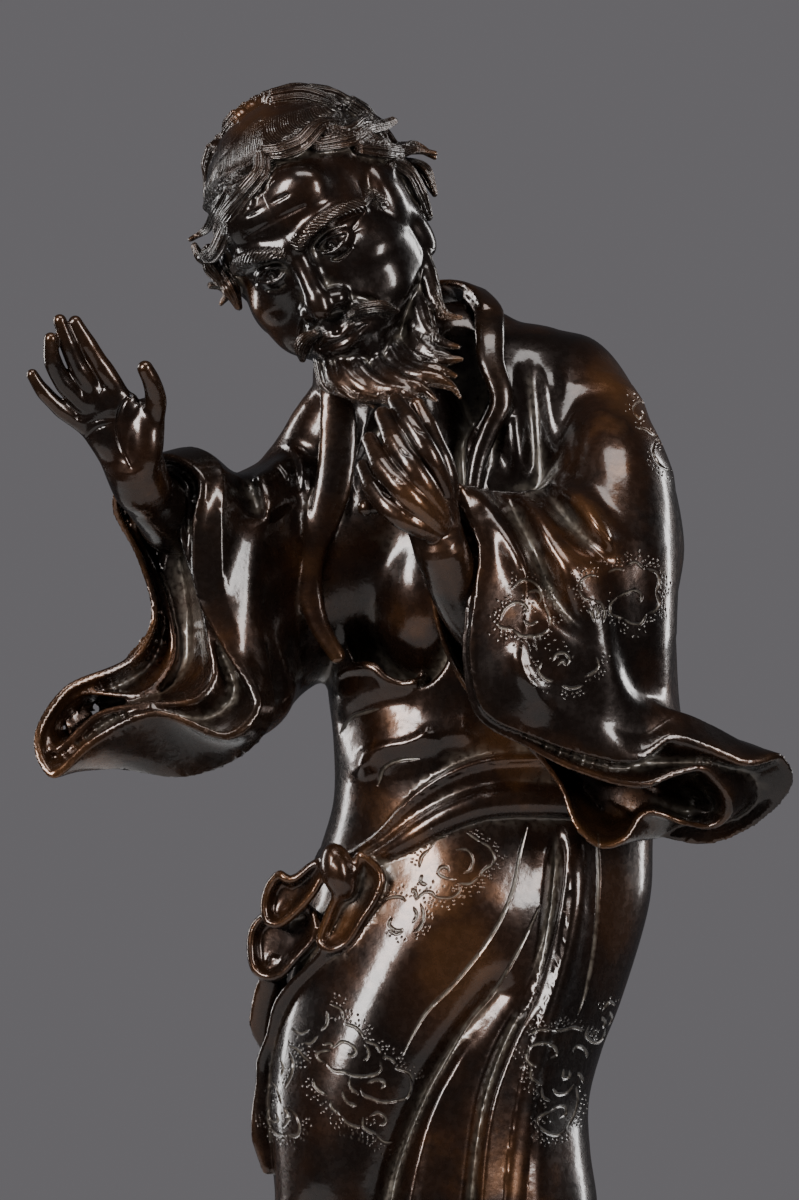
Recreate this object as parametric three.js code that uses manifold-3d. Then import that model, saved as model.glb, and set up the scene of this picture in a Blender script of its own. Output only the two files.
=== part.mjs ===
// A cast bronze figure of a bearded immortal in wide-sleeved robes, standing on a low oval base.
// Millimetres, +Z up. The figure faces -Y, and the origin is the centre of the base's underside.
import * as THREE from "three";
import { mergeVertices } from "three/addons/utils/BufferGeometryUtils.js";
import Module from "manifold-3d";

const wasm = await Module();
wasm.setup();

// Driving dimensions
const BASE_HEIGHT = 20;
const BASE_RADIUS = 104;
const BASE_DEPTH_SHARE = 0.88;
const JOINT_GAP = 0.4;
const RIM_WALL = 2.6;
const HEAD_CENTRE = [-35.5, -32, 553];
const HEAD_ROLL = -27;
const HEAD_YAW = -18;
const HEAD_PITCH = 13;
const STAND_Z = BASE_HEIGHT + JOINT_GAP;

// The robe's body, from hem to neck: height, centre x and y, half width, half depth, and how much it
// rises per mm of x
const BODY_SECTIONS = [
  [STAND_Z, 4, 4, 84, 64, 0], [34, 4, 4, 81, 62, 0], [60, 6, 4, 74, 59, 0], [110, 9, 3, 65, 55, 0],
  [160, 12, 2, 60, 52, 0], [194, 13, 1, 58, 50, 0], [212, 11, 1, 57.5, 50, 0], [230, 10, 1, 58, 50, 0],
  [248, 13, 1, 59.5, 49, 0], [266, 18, 2, 61.5, 48, 0], [302, 28, 4, 62, 47, 0],
  [320, 31, 5, 60, 46, 0], [338, 33, 4, 57, 45, 0], [360, 26, 2, 50, 42, 0], [378, 21, 0, 47, 40, 0],
  [410, 22, -2, 50, 38, 0.05], [446, 23, -4, 54, 38, 0.1], [470, 25, -5, 55, 35, 0.2],
  [488, 26, -4, 46, 29, 0.25], [500, 24, -3, 32, 22, 0.25], [507, 22, -2, 16, 12, 0.25],
];

// Rings of the figure's right sleeve, each from the top, down the front edge, round the low tip and up
// the back edge
const RIGHT_ARMHOLE = { centre: [6, -3, 438], start: [0, 0, 40], front: [0, -28, 0] };
const RIGHT_UPPER_ARM = { centre: [-32, -5, 425], start: [0, 0, 46], front: [-3, -38, 0] };
const RIGHT_MID = [
  [-58, -18, 456], [-52, -45, 452], [-50, -56, 436], [-49, -58, 414], [-45, -55, 394], [-39, -48, 377],
  [-45, -38, 365], [-57, -28, 359], [-67, -20, 362], [-73, -14, 369], [-76, -8, 378], [-76, -4, 389],
  [-74, 0, 400], [-72, 2, 410], [-71, 2, 425], [-70, -2, 441], [-66, -8, 453],
];
const RIGHT_HEM = [
  [-74, -45, 465], [-63, -60, 457], [-63, -66, 436], [-62, -66, 414], [-54, -66, 394], [-44, -62, 372],
  [-53, -58, 357], [-76, -52, 347], [-99, -50, 350], [-118, -54, 351], [-127, -50, 363],
  [-116, -42, 379], [-94, -30, 392], [-85, -22, 406], [-89, -20, 426], [-97, -25, 445],
  [-89, -34, 460],
];
const RIGHT_RIM = [
  [-81, -58, 462], [-69, -66, 453], [-71, -67, 436], [-70, -66, 414], [-60, -68, 394], [-49, -74, 373],
  [-60, -78, 361], [-86, -74, 369], [-108, -72, 359], [-123, -74, 347], [-130, -68, 360],
  [-120, -60, 379], [-97, -48, 390], [-89, -40, 404], [-94, -38, 425], [-103, -44, 445],
  [-95, -50, 459],
];
const RIGHT_INNER_RIM = [
  [-81, -52, 458], [-74, -60, 449], [-76, -61, 435], [-70, -61, 414], [-66, -62, 396], [-65, -66, 382],
  [-72, -69, 374], [-91, -67, 372], [-106, -66, 369], [-122, -68, 356], [-126, -62, 364],
  [-115, -55, 378], [-91, -45, 378], [-82, -36, 391], [-85, -33, 410], [-96, -38, 439],
  [-89, -45, 454],
];

// Rings of the figure's left sleeve, each from the crook of the arm, down the front edge, round the tip
// and up the body side, and the bulk of the upper arm inside it
const LEFT_ARMHOLE = { centre: [36, -3, 474], start: [0, 0, -27], front: [0, -27, 0] };
const LEFT_SHOULDER = { centre: [60, -2, 480], start: [-8, 0, -25], front: [0, -28, 0] };
const LEFT_UPPER_ARM = { centre: [74, -3, 464], start: [-17, -2, -9], front: [0, -31, 0] };
const LEFT_ELBOW = { centre: [80, -6, 441], start: [-22, -3, 9], front: [2, -34, -4] };
const LEFT_MID = [
  [58, -38, 450], [63, -68, 445], [69, -84, 432], [73, -86, 414], [76, -84, 396], [80, -77, 383],
  [84, -68, 378], [89, -58, 374], [92, -46, 374], [95, -36, 374], [98, -26, 375], [99, -16, 376],
  [100, -6, 379], [99, 2, 385], [96, 8, 392], [90, 12, 396], [83, 12, 398], [76, 10, 400],
  [68, 6, 403], [63, 2, 410], [58, -2, 421], [56, -8, 432], [55, -20, 443],
];
const LEFT_HEM = [
  [36, -58, 449], [39, -80, 439], [44, -90, 425], [44, -93, 407], [43, -93, 389], [49, -92, 376],
  [59, -89, 371], [73, -86, 366], [86, -79, 363], [99, -70, 370], [111, -62, 366], [122, -56, 360],
  [132, -48, 356], [135, -44, 348], [126, -36, 338], [108, -32, 332], [90, -30, 337], [72, -30, 348],
  [54, -28, 364], [40, -28, 381], [30, -28, 400], [26, -30, 421], [30, -40, 439],
];
const LEFT_RIM = [
  [18, -78, 451], [25, -84, 441], [30, -87, 429], [28, -89, 407], [27, -89, 389], [32, -89, 372],
  [47, -88, 365], [64, -88, 359], [83, -86, 356], [95, -80, 363], [110, -76, 359], [123, -72, 354],
  [135, -64, 356], [140, -58, 346], [129, -50, 332], [109, -46, 323], [90, -44, 327], [68, -43, 340],
  [47, -43, 359], [30, -43, 378], [18, -45, 400], [12, -50, 421], [12, -62, 441],
];
const LEFT_INNER_RIM = [
  [19, -74, 447], [22, -79, 438], [27, -82, 428], [25, -84, 407], [24, -84, 389], [29, -84, 370],
  [46, -84, 360], [62, -84, 352], [85, -82, 346], [96, -78, 350], [107, -74, 352], [112, -71, 348],
  [117, -67, 341], [117, -63, 334], [111, -60, 329], [101, -59, 330], [87, -62, 334], [80, -66, 325],
  [71, -68, 322], [62, -66, 329], [56, -62, 344], [46, -60, 357], [26, -58, 374], [14, -56, 396],
  [10, -56, 418], [12, -62, 437],
];
const LEFT_ARM_BULK = {
  path: [[71, -22, 474], [75.5, -38, 450], [77, -46, 421], [78, -48, 396], [82, -44, 370]],
  widths: [17, 22.5, 22.5, 20.5, 15],
  depths: [18, 27, 33, 30, 20],
};

// How square the outline is: 2 is an ellipse
const OUTLINE_POWER = 2.4;

// Folds seen from the front or back. Points are [x, z], height is outwards, and reach is the half width.
// An edge is a step that stands proud on the left of its line and tapers away over its fall.
const FOLDS = [
  {
    side: -1,
    kind: "edge",
    height: 5,
    reach: 3,
    fall: 26,
    points: [
      [58, 336], [57, 310], [50, 281], [38, 250], [32, 234], [28, 214], [27, 195], [24, 140], [18, 80],
      [14, 20],
    ],
  },
  {
    side: -1,
    kind: "ridge",
    height: -4,
    reach: 6,
    points: [
      [34, 270], [27, 261], [15, 247], [9, 238], [3, 224], [-3, 208], [-7, 195], [-14, 140], [-20, 80],
      [-26, 20],
    ],
  },
  {
    side: -1,
    kind: "ridge",
    height: 2.5,
    reach: 6,
    points: [[64, 322], [65, 306], [62, 290], [56, 267], [52, 240], [50, 195], [52, 120], [56, 20]],
  },
  {
    side: -1,
    kind: "ridge",
    height: 8,
    reach: 24,
    points: [[22, 304], [2, 282], [-14, 258], [-24, 236], [-26, 200], [-24, 150]],
  },
  {
    side: -1,
    kind: "ridge",
    height: -3,
    reach: 8,
    points: [[-30, 190], [-36, 130], [-46, 70], [-52, 20]],
  },
  {
    side: -1,
    kind: "ridge",
    height: 3.5,
    reach: 9,
    points: [[-12, 170], [-4, 110], [-2, 60], [-4, 20]],
  },
  { side: -1, kind: "ridge", height: -3, reach: 8, points: [[44, 150], [40, 90], [38, 20]] },
  {
    side: -1,
    kind: "ridge",
    height: 2.5,
    reach: 5,
    points: [[-14, 351], [-6, 359], [6, 362], [22, 364]],
  },
  { side: -1, kind: "ridge", height: -2, reach: 5, points: [[-20, 366], [-10, 372], [0, 374]] },
  {
    side: 1,
    kind: "ridge",
    height: 3,
    reach: 10,
    points: [[52, 480], [44, 430], [30, 370], [24, 340]],
  },
  { side: 1, kind: "ridge", height: 3, reach: 10, points: [[0, 474], [4, 430], [14, 370], [16, 340]] },
  {
    side: 1,
    kind: "ridge",
    height: -3,
    reach: 9,
    points: [[26, 320], [20, 260], [14, 190], [8, 100], [6, 20]],
  },
  {
    side: 1,
    kind: "ridge",
    height: 4,
    reach: 11,
    points: [[48, 300], [40, 240], [34, 160], [32, 80], [34, 20]],
  },
  {
    side: 1,
    kind: "ridge",
    height: 4,
    reach: 11,
    points: [[0, 300], [-8, 230], [-16, 150], [-24, 80], [-28, 20]],
  },
  { side: 1, kind: "ridge", height: -4, reach: 9, points: [[62, 280], [56, 200], [58, 110], [62, 20]] },
  {
    side: 1,
    kind: "ridge",
    height: -4,
    reach: 9,
    points: [[-24, 240], [-36, 160], [-48, 90], [-54, 20]],
  },
];
const PLEATS = [
  {
    side: -1,
    kind: "ridge",
    height: 3.6,
    reach: 6,
    points: [[21, 450], [32, 445], [37, 435], [43, 422], [48, 410]],
  },
  {
    side: -1,
    kind: "ridge",
    height: 3.6,
    reach: 6,
    points: [[40, 450], [49, 442], [53, 431], [59, 420], [65, 408]],
  },
  {
    side: -1,
    kind: "ridge",
    height: 3.6,
    reach: 6,
    points: [[54, 450], [64, 445], [70, 437], [78, 428], [84, 423]],
  },
  {
    side: -1,
    kind: "ridge",
    height: -6,
    reach: 5,
    points: [[36, 448], [44, 433], [49, 422], [55, 410], [62, 400], [68, 392]],
  },
  {
    side: -1,
    kind: "ridge",
    height: -6,
    reach: 5,
    points: [[50, 449], [60, 438], [68, 429], [76, 423]],
  },
];

// The lapel on the figure's right, the collar, the lapel on its left, the cloth that climbs to the neck,
// and the robe's opening as [x, z]
const RIGHT_LAPEL = {
  path: [
    [-24, -34, 488], [-22, -37, 474], [-23, -38.5, 456], [-26.5, -39.5, 441], [-31.5, -40, 428],
    [-32, -41, 414], [-29, -41, 402], [-22, -42, 390],
  ],
  widths: [5, 7, 7, 6.5, 5.5, 5, 4, 3],
};
const COLLAR = {
  path: [
    [-24, -35, 485], [-28, -25, 491], [-27, -11, 498], [-18, 1, 506], [-6, 8, 513], [8, 10, 519],
    [20, 5, 521], [29, -8, 519], [33, -20, 513],
  ],
  widths: [5, 7, 8, 8, 8, 8, 8, 7.5, 6],
};
const LEFT_LAPEL = {
  path: [
    [27, -8, 520], [31.5, -20, 514], [32, -31, 505], [32.5, -37, 495], [35.5, -40, 486],
    [36, -41, 480], [31.8, -42, 471], [28.4, -42.5, 462], [26.4, -43, 452], [24.8, -42.5, 430],
    [23, -42, 408],
  ],
  widths: [5, 5.5, 5.5, 5, 4.4, 3.8, 3.4, 3, 2.8, 2.6, 2],
};
const SHOULDER_RISE = {
  path: [[-14, -18, 496], [-17.5, -18, 484], [-24, -16, 470], [-34, -12, 456]],
  widths: [12.5, 13.5, 16.5, 15],
};
const OPENING_BACK = -14;
const OPENING = [
  [-14, 500], [-19, 487], [-14, 473], [-17, 456], [-20, 441], [-26, 428], [-26, 416], [-24, 403],
  [-18, 393], [-15, 387], [-9, 385], [0, 380], [9, 380], [16, 387], [19, 400], [22, 420], [24, 440],
  [24, 468], [29, 476], [32, 486], [30, 498], [26, 508], [10, 514],
];

// The bare chest and belly, and the robe's bulk behind the neck
const CHEST = [
  { centre: [9, -10, 442], radii: [20, 27, 52] },
  { centre: [9, -13, 414], radii: [21, 28, 32] },
];
const NAPE = { centre: [22, -2, 504], radii: [20, 15, 14] };

// The sash: the height of its lower roll and the share of its full size, at angles round the waist in
// degrees with the front at -90, and its cross-section as [outwards, up]
const SASH_HEIGHTS = [
  [-180, 316, 0.15], [-149, 314, 0.2], [-127, 319, 0.5], [-113, 327, 0.9], [-102, 334, 1],
  [-91, 339, 1], [-75, 340, 1], [-60, 339, 1], [-38, 337, 1], [0, 335, 1], [45, 334, 1], [90, 332, 1],
  [135, 325, 0.6],
];
const SASH_SECTION = [[-8, -5], [4, -6], [7, -1], [3, 5], [4, 13], [-8, 14]];

// The bow: three folded loops as [x, y, z] outlines, its knot, and two tails
const BOW_UPPER_LOOP = [
  [-25, -36, 320], [-32, -35, 317], [-39, -33, 312], [-43, -31, 314], [-48, -29, 309], [-50, -28, 300],
  [-48, -29, 294], [-43, -31, 293], [-36, -34, 298], [-28, -37, 308],
];
const BOW_LOWER_LOOP = [
  [-50, -22, 298], [-54, -21, 293], [-55, -21, 285], [-53, -22, 277], [-48, -24, 274], [-42, -27, 275],
  [-36, -29, 281], [-29, -31, 290], [-30, -30, 300], [-40, -26, 302],
];
const BOW_RIGHT_LOOP = [
  [-15, -43, 321], [-9, -44, 318], [-5, -45, 312], [-7, -45, 304], [-12, -44, 296], [-18, -42, 287],
  [-25, -40, 284], [-30, -37, 288], [-28, -38, 296], [-24, -40, 305], [-18, -42, 313],
];
const KNOT = { centre: [-21.8, -38, 313.5], radii: [6.2, 8, 10.6], turn: [0, 16, 0] };
const TAIL_LONG = {
  path: [
    [-25, -36, 285], [-31, -31, 278], [-37, -26, 272], [-42, -22, 265], [-45, -18, 254],
    [-49, -14, 244], [-49, -13, 236], [-49.5, -12, 220], [-47, -12, 206],
  ],
  widths: [3.4, 3.7, 3.7, 3.5, 3.2, 2.6, 3.8, 4.2, 2.6],
};
const TAIL_SHORT = {
  path: [[-43, -20, 281], [-47.5, -15, 267], [-49, -12, 257], [-46, -10, 247]],
  widths: [4, 5.6, 5.2, 2.4],
};

// Neck, forearms, palms and fingers
const NECK = {
  path: [[-20, -24, 512], [-8, -18, 496], [3, -10, 480], [10, -4, 464]],
  widths: [18, 17, 18, 19],
};
const RIGHT_ARM = {
  path: [
    [-62, -17, 441.5], [-79.4, -40, 438.2], [-84, -54, 442.5], [-88.5, -64, 447.2],
    [-91.4, -72, 451.9], [-93, -77, 456.6],
  ],
  widths: [9.6, 12.4, 12.3, 11.2, 9.8, 9.6],
};
const RIGHT_PALM = {
  path: [[-91.4, -72, 450.6], [-96.8, -79, 464.3], [-103.6, -84, 477.3]],
  widths: [9.4, 10.8, 12.2],
  depths: [8, 6, 4.6],
};
const THUMB_MOUND = { centre: [-89.8, -83.5, 467.7], radii: [6.6, 5.6, 14] };
const RIGHT_FINGERS = [
  {
    path: [
      [-96, -78, 474.8], [-100.5, -87, 485.8], [-106.1, -90, 494.4], [-110.7, -93, 502.1],
      [-114.2, -94, 508.1],
    ],
    radius: 3.1,
  },
  {
    path: [
      [-102.1, -78, 476.5], [-109.6, -88, 486.7], [-114.2, -92, 494.4], [-117.2, -95, 502.1],
      [-119.5, -97, 508.5],
    ],
    radius: 3.1,
  },
  {
    path: [
      [-105.5, -78, 474.8], [-115.2, -88, 483.2], [-119.8, -92, 489.2], [-122.3, -95, 495.2],
      [-122.7, -98, 502],
    ],
    radius: 3.2,
  },
  {
    path: [
      [-106.5, -76, 469.6], [-116.6, -84, 475.5], [-121.7, -87, 479.8], [-126.4, -89, 484.9],
      [-129.4, -90, 489.7],
    ],
    radius: 2.7,
  },
  {
    path: [
      [-90.9, -74, 460.9], [-87.2, -84, 472.9], [-86.1, -88, 481.5], [-87.5, -92, 487.5],
      [-89.6, -94, 491.8],
    ],
    radius: 3.7,
  },
];
const RIGHT_TAPER = [1.3, 1.1, 1, 0.76];
const LEFT_ARM = {
  path: [[44, -44, 394], [30, -62, 402], [20, -76, 415], [15, -88, 428]],
  widths: [12, 12, 10, 9],
};
const LEFT_PALM = {
  path: [[14, -84, 428], [11, -88, 440], [6, -88, 452], [2, -86, 464]],
  widths: [9, 10, 9.5, 6.5],
  depths: [7, 8, 7, 4.5],
};
const LEFT_FINGERS = [
  {
    path: [[-12.5, -88, 457], [-9, -95, 449.7], [-3, -101, 442], [5, -101, 437], [13.5, -93, 433]],
    radius: 4,
  },
  {
    path: [
      [-10.5, -90, 466.5], [-5.5, -99, 456.5], [1.5, -104, 448.5], [9, -101, 441], [15.5, -91, 434],
    ],
    radius: 4.1,
  },
  {
    path: [[-6, -88, 475.5], [-1, -98, 464.5], [5.5, -103, 455], [12, -99, 445], [16.5, -90, 435]],
    radius: 4.1,
  },
  {
    path: [[-1.5, -85, 480.5], [4, -94, 471.5], [9.5, -98, 462.5], [13.8, -95, 453.5], [17, -88, 444]],
    radius: 3.9,
  },
  { path: [[6, -80, 479], [12, -85, 466], [16.5, -86, 455], [18, -84, 446]], radius: 3.8 },
];
const LEFT_TAPER = [0.76, 0.97, 1, 0.97, 0.87];
const PIN = [[-12, -80, 443], [19, -82, 443]];
const PIN_RADIUS = 2.2;
const PIN_BALL = 3.1;

// The head in its own upright coordinates about the middle of the skull: the crown is at 36, the eye line
// halfway to the chin at -61, and brow, nose and chin lie on thirds. Pairs are given for one side.
const SKULL = [
  { centre: [0, -1, -3], radii: [31.5, 37.5, 32], detail: 2 },
  { centre: [0, -7, -24], radii: [29.5, 30, 28], detail: 2 },
  { centre: [0, -17, -42], radii: [20.5, 22.5, 18.5], detail: 1 },
  { centre: [0, -30, -46], radii: [13, 10.5, 14], detail: 1 },
];
const HEAD_PAIRS = [
  { centre: [23.5, -7, -30], radii: [8.5, 16, 17], detail: 1 },
  { centre: [31.4, 3, -16], radii: [5, 8.5, 13], detail: 0 },
  { centre: [33, -1.4, -30], radii: [3.8, 5.6, 9], detail: 0 },
  { centre: [31, -4, -12], radii: [5.4, 10, 13], detail: 0 },
  { centre: [12.6, -27.6, -12.5], radii: [8, 8, 8], detail: 0 },
  { centre: [5.8, -38.8, -29.8], radii: [4, 4.8, 3.6], detail: 0 },
];
const HAIR_CAP = { centre: [0, 7, 2], radii: [34, 38, 34] };
const NOSE = { path: [[0, -36, -6], [0, -38.6, -15], [0, -42.6, -28]], widths: [2.6, 3.6, 4.8] };
const LIPS = { path: [[-9, -36, -43.2], [0, -40.4, -43.4], [9, -36, -43.2]], widths: [1.6, 3.2, 1.6] };
const BROW = {
  path: [[3, -37.5, -6], [11, -37, -3.4], [20, -31.5, -3.4], [26.5, -23, -7.5]],
  widths: [2.4, 3, 2.8, 1.4],
};
const MOUSTACHE = {
  path: [[3, -37.5, -35.5], [11, -38.4, -37], [16.6, -34.4, -40.4], [20, -30, -45.6]],
  widths: [2.6, 3.2, 3, 1.4],
};

// Locks of the fringe, in the upright head's own coordinates, and the beard where it hangs
const FRINGE = [
  {
    path: [[4, -22.5, 26.5], [2, -29, 21], [-5, -31.5, 18], [-13, -30.5, 15], [-25, -24, 10]],
    widths: [2.4, 3.6, 3.8, 3.4, 1],
  },
  {
    path: [[-15, -30, 13], [-23, -27, 6], [-32, -20.5, 1.5], [-39, -14, 1.5]],
    widths: [2.4, 3.4, 3, 0.8],
  },
  { path: [[-34, -15, 2.5], [-36, -15, -3.5], [-35, -17.5, -9.5]], widths: [3, 4, 2] },
  { path: [[-35, -12.5, -7.5], [-33.5, -17, -13.5], [-34.5, -18, -20.5]], widths: [3.4, 4, 1.6] },
  {
    path: [[4, -22.5, 26.5], [10.5, -23.5, 23.5], [17, -21.5, 22], [24, -12.5, 23], [29.5, -3, 18.5]],
    widths: [2.4, 3.6, 3.4, 3, 1.6],
  },
  {
    path: [[21.5, -19, 18.5], [30, -10, 13.5], [34, 2, 11.5], [37, 11.5, 8], [39.5, 18, 6.5]],
    widths: [2.6, 3.4, 3.2, 2.6, 1.6],
  },
  {
    path: [[31.5, -10, 9], [35.5, 0.5, 2], [38, 11, -3.5], [41.5, 15, -6], [47, 17, -11]],
    widths: [2.6, 3.4, 3, 2, 1],
  },
  { path: [[35, 3.5, -3.5], [37, 7, -10.5], [36.5, 7, -20], [36, 6, -28]], widths: [3.4, 4, 4, 2] },
];
const BEARD_ROOT = {
  path: [[2, -34, 522], [-1, -38, 506], [-10, -46, 500], [-20, -44, 500]],
  widths: [5, 7, 7, 5],
};
const BEARD = [
  {
    path: [
      [8, -35, 541], [7.5, -39, 533], [9.8, -43, 525], [12.9, -47, 515.6], [16.8, -49, 511.7],
      [22, -49, 511],
    ],
    widths: [2.5, 4, 4.6, 4, 2.5, 0.8],
  },
  {
    path: [
      [6, -37, 531], [5.1, -42, 522.7], [6.7, -46, 513.3], [9.8, -50, 505.5], [14.5, -52, 502],
      [21, -52, 500.5],
    ],
    widths: [3, 4.2, 4.6, 4.2, 3, 0.8],
  },
  {
    path: [[4, -39, 520], [4.2, -44, 513], [6.5, -49, 504], [11, -54, 499.5], [17, -56, 498]],
    widths: [3, 4.3, 4.4, 3.5, 0.8],
  },
  {
    path: [[1, -41, 510], [3.6, -46, 503.9], [8.2, -52, 498.5], [14.5, -56, 496], [22, -58, 496]],
    widths: [3, 4.4, 4.6, 3.4, 0.8],
  },
  {
    path: [[-2, -46, 503], [1, -51, 497], [6, -57, 492.5], [13, -60, 492], [20, -61, 490]],
    widths: [3, 4.4, 4.4, 3.4, 0.8],
  },
  {
    path: [
      [-5, -49, 502], [-1.1, -54, 494], [5.1, -60, 490], [12.9, -63, 489], [18.4, -64, 486],
      [21.4, -64, 482],
    ],
    widths: [3, 4.6, 4.8, 4, 2.5, 0.8],
  },
  {
    path: [[-10, -52, 498.5], [-6, -57, 491], [0, -62, 487], [7, -65, 485.5], [13, -66, 481]],
    widths: [3, 4.6, 4.8, 3.6, 0.8],
  },
  {
    path: [
      [-16.7, -54, 497], [-12, -59, 489], [-5.8, -63, 485], [2, -66, 484], [6.7, -67, 480],
      [8, -67, 476.5],
    ],
    widths: [3, 4.6, 4.8, 4, 2.6, 0.8],
  },
  {
    path: [[-21, -53, 496.5], [-17.5, -58, 489], [-11.5, -62, 484.5], [-5, -64, 482.5], [-1, -65, 478]],
    widths: [3, 4.4, 4.6, 3.4, 0.8],
  },
  {
    path: [[-25.3, -49, 496.5], [-23, -54, 490], [-17.5, -59, 485], [-12, -61, 482], [-9.2, -61, 479]],
    widths: [2.6, 4, 4.4, 3.4, 0.9],
  },
  {
    path: [[-29, -45, 495], [-25.5, -49, 487.5], [-20, -53, 485], [-16, -55, 481]],
    widths: [2.4, 3.6, 3.4, 0.9],
  },
];

// The base's outline, as shares of its radius and height
const BASE_PROFILE = [
  [0, 0], [1, 0], [1, 0.28], [0.965, 0.36], [0.95, 0.5], [0.955, 0.66], [0.975, 0.76], [0.97, 0.94],
  [0.95, 1], [0, 1],
];

// How finely the shapes are faceted
const BODY_SIDES = 28;
const BODY_STEPS = 17;
const SLEEVE_SIDES = 18;
const LEAF_SIDES = 10;
const BELT_STEPS = 20;
const BASE_SIDES = 20;

// Wall of a sleeve's inner rim, how deep the groove behind the outer rim is, and how far each ring of a
// sleeve's mouth is drawn in and pushed back
const INNER_WALL = 2.1;
const RIM_GROOVE = 10;
const MOUTH_STEPS = [[0.25, 14], [0.55, 26]];

// Half thickness of the lapels, the collar and the bow's tails, the depth of the bow's loops, how far the
// robe's opening is cut, and the feet
const LAPEL_HALF = 2.2;
const COLLAR_HALF = 2.6;
const TAIL_HALF = 2;
const LEAF_DEPTH = 9;
const OPENING_REACH = 100;
const FOOT = { reach: 42, back: -26, heel: 15, toe: 10, widths: [15, 16, 14], depths: [13, 12, 9] };
const FEET = [{ x: -24, turn: -14 }, { x: 36, turn: 16 }];

const vector = (p) => new THREE.Vector3(...p);
const radians = THREE.MathUtils.degToRad;

// Closed meshes and solids

function solidOf(geometry) {
  const bare = geometry.clone();
  bare.deleteAttribute("normal");
  bare.deleteAttribute("uv");
  const merged = mergeVertices(bare, 1e-3);
  const index = [];
  const corners = merged.index.array;
  for (let i = 0; i < corners.length; i += 3) {
    const [a, b, c] = corners.slice(i, i + 3);
    if (a !== b && b !== c && c !== a) index.push(a, b, c);
  }
  const mesh = {
    numProp: 3,
    vertProperties: merged.attributes.position.array,
    triVerts: new Uint32Array(index),
  };
  const made = new wasm.Manifold(new wasm.Mesh(mesh));
  if (made.volume() > 0) return made;
  for (let i = 0; i < index.length; i += 3) [index[i], index[i + 1]] = [index[i + 1], index[i]];
  return new wasm.Manifold(new wasm.Mesh({ ...mesh, triVerts: new Uint32Array(index) }));
}

function geometryOf(solid) {
  const mesh = solid.getMesh();
  const geometry = new THREE.BufferGeometry();
  geometry.setAttribute(
    "position",
    new THREE.BufferAttribute(new Float32Array(mesh.vertProperties), 3),
  );
  geometry.setIndex(new THREE.BufferAttribute(new Uint32Array(mesh.triVerts), 1));
  geometry.computeVertexNormals();
  return geometry;
}

const join = (solids) => solids.reduce((whole, piece) => whole.add(piece));

// A skin through rings of equal length, closed at both ends by a fan
function skin(rings) {
  const count = rings[0].length;
  const positions = rings.flat().flatMap((p) => p.toArray());
  const index = [];
  for (let r = 0; r + 1 < rings.length; r++)
    for (let i = 0; i < count; i++) {
      const [a, b] = [r * count + i, r * count + ((i + 1) % count)];
      index.push(a, b, a + count, b, b + count, a + count);
    }
  for (const [r, turned] of [[0, true], [rings.length - 1, false]]) {
    const middle = rings[r].reduce((sum, p) => sum.add(p), new THREE.Vector3()).divideScalar(count);
    const tip = positions.length / 3;
    positions.push(...middle.toArray());
    for (let i = 0; i < count; i++) {
      const [a, b] = [r * count + i, r * count + ((i + 1) % count)];
      index.push(...(turned ? [b, a, tip] : [a, b, tip]));
    }
  }
  const geometry = new THREE.BufferGeometry();
  geometry.setAttribute("position", new THREE.Float32BufferAttribute(positions, 3));
  geometry.setIndex(index);
  return geometry;
}

function loop(points, count) {
  const curve = new THREE.CatmullRomCurve3(points.map(vector), true, "centripetal");
  return curve.getSpacedPoints(count).slice(0, count);
}

function oval({ centre, start, front }, count) {
  return Array.from({ length: count }, (_, i) => {
    const angle = (2 * Math.PI * i) / count;
    return vector(centre)
      .addScaledVector(vector(start), Math.cos(angle))
      .addScaledVector(vector(front), Math.sin(angle));
  });
}

// Rings between key rings, each vertex on its own smooth path
function between(keys, steps) {
  const paths = keys[0].map(
    (_, i) => new THREE.CatmullRomCurve3(keys.map((k) => k[i]), false, "centripetal"),
  );
  return Array.from({ length: steps + 1 }, (_, s) => paths.map((path) => path.getPoint(s / steps)));
}

// A tube along a smooth path with round ends. Widths and depths are half sizes at even stations.
function tube(path, widths, { depths = widths, sides = 10, steps = 12, across = [1, 0, 0] } = {}) {
  const curve = new THREE.CatmullRomCurve3(path.map(vector), false, "centripetal");
  const at = (values, t) => {
    const place = t * (values.length - 1);
    const low = Math.min(Math.floor(place), values.length - 2);
    return THREE.MathUtils.lerp(values[low], values[low + 1], place - low);
  };
  const rings = [];
  const side = vector(across);
  for (let s = 0; s <= steps; s++) {
    const t = s / steps;
    const ahead = curve.getTangentAt(t);
    side.addScaledVector(ahead, -side.dot(ahead)).normalize();
    const up = new THREE.Vector3().crossVectors(ahead, side);
    const place = curve.getPointAt(t);
    const ends = s === 0 ? [-0.7, 0] : s === steps ? [0, 0.7] : [0];
    for (const end of ends) {
      const share = Math.sqrt(1 - end * end);
      const half = Math.min(at(widths, t), at(depths, t));
      rings.push(
        Array.from({ length: sides }, (_, i) => {
          const angle = (2 * Math.PI * i) / sides;
          return place
            .clone()
            .addScaledVector(ahead, end * half)
            .addScaledVector(side, Math.cos(angle) * at(widths, t) * share)
            .addScaledVector(up, Math.sin(angle) * at(depths, t) * share);
        }),
      );
    }
  }
  return solidOf(skin(rings));
}

function ellipsoid(centre, radii, { matrix = null, turn = [0, 0, 0], detail = 3 } = {}) {
  const geometry = new THREE.IcosahedronGeometry(1, detail);
  geometry.scale(...radii);
  geometry.rotateX(radians(turn[0])).rotateY(radians(turn[1])).rotateZ(radians(turn[2]));
  geometry.translate(...centre);
  if (matrix) geometry.applyMatrix4(matrix);
  return solidOf(geometry);
}

// Folds pressed into a surface

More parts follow.
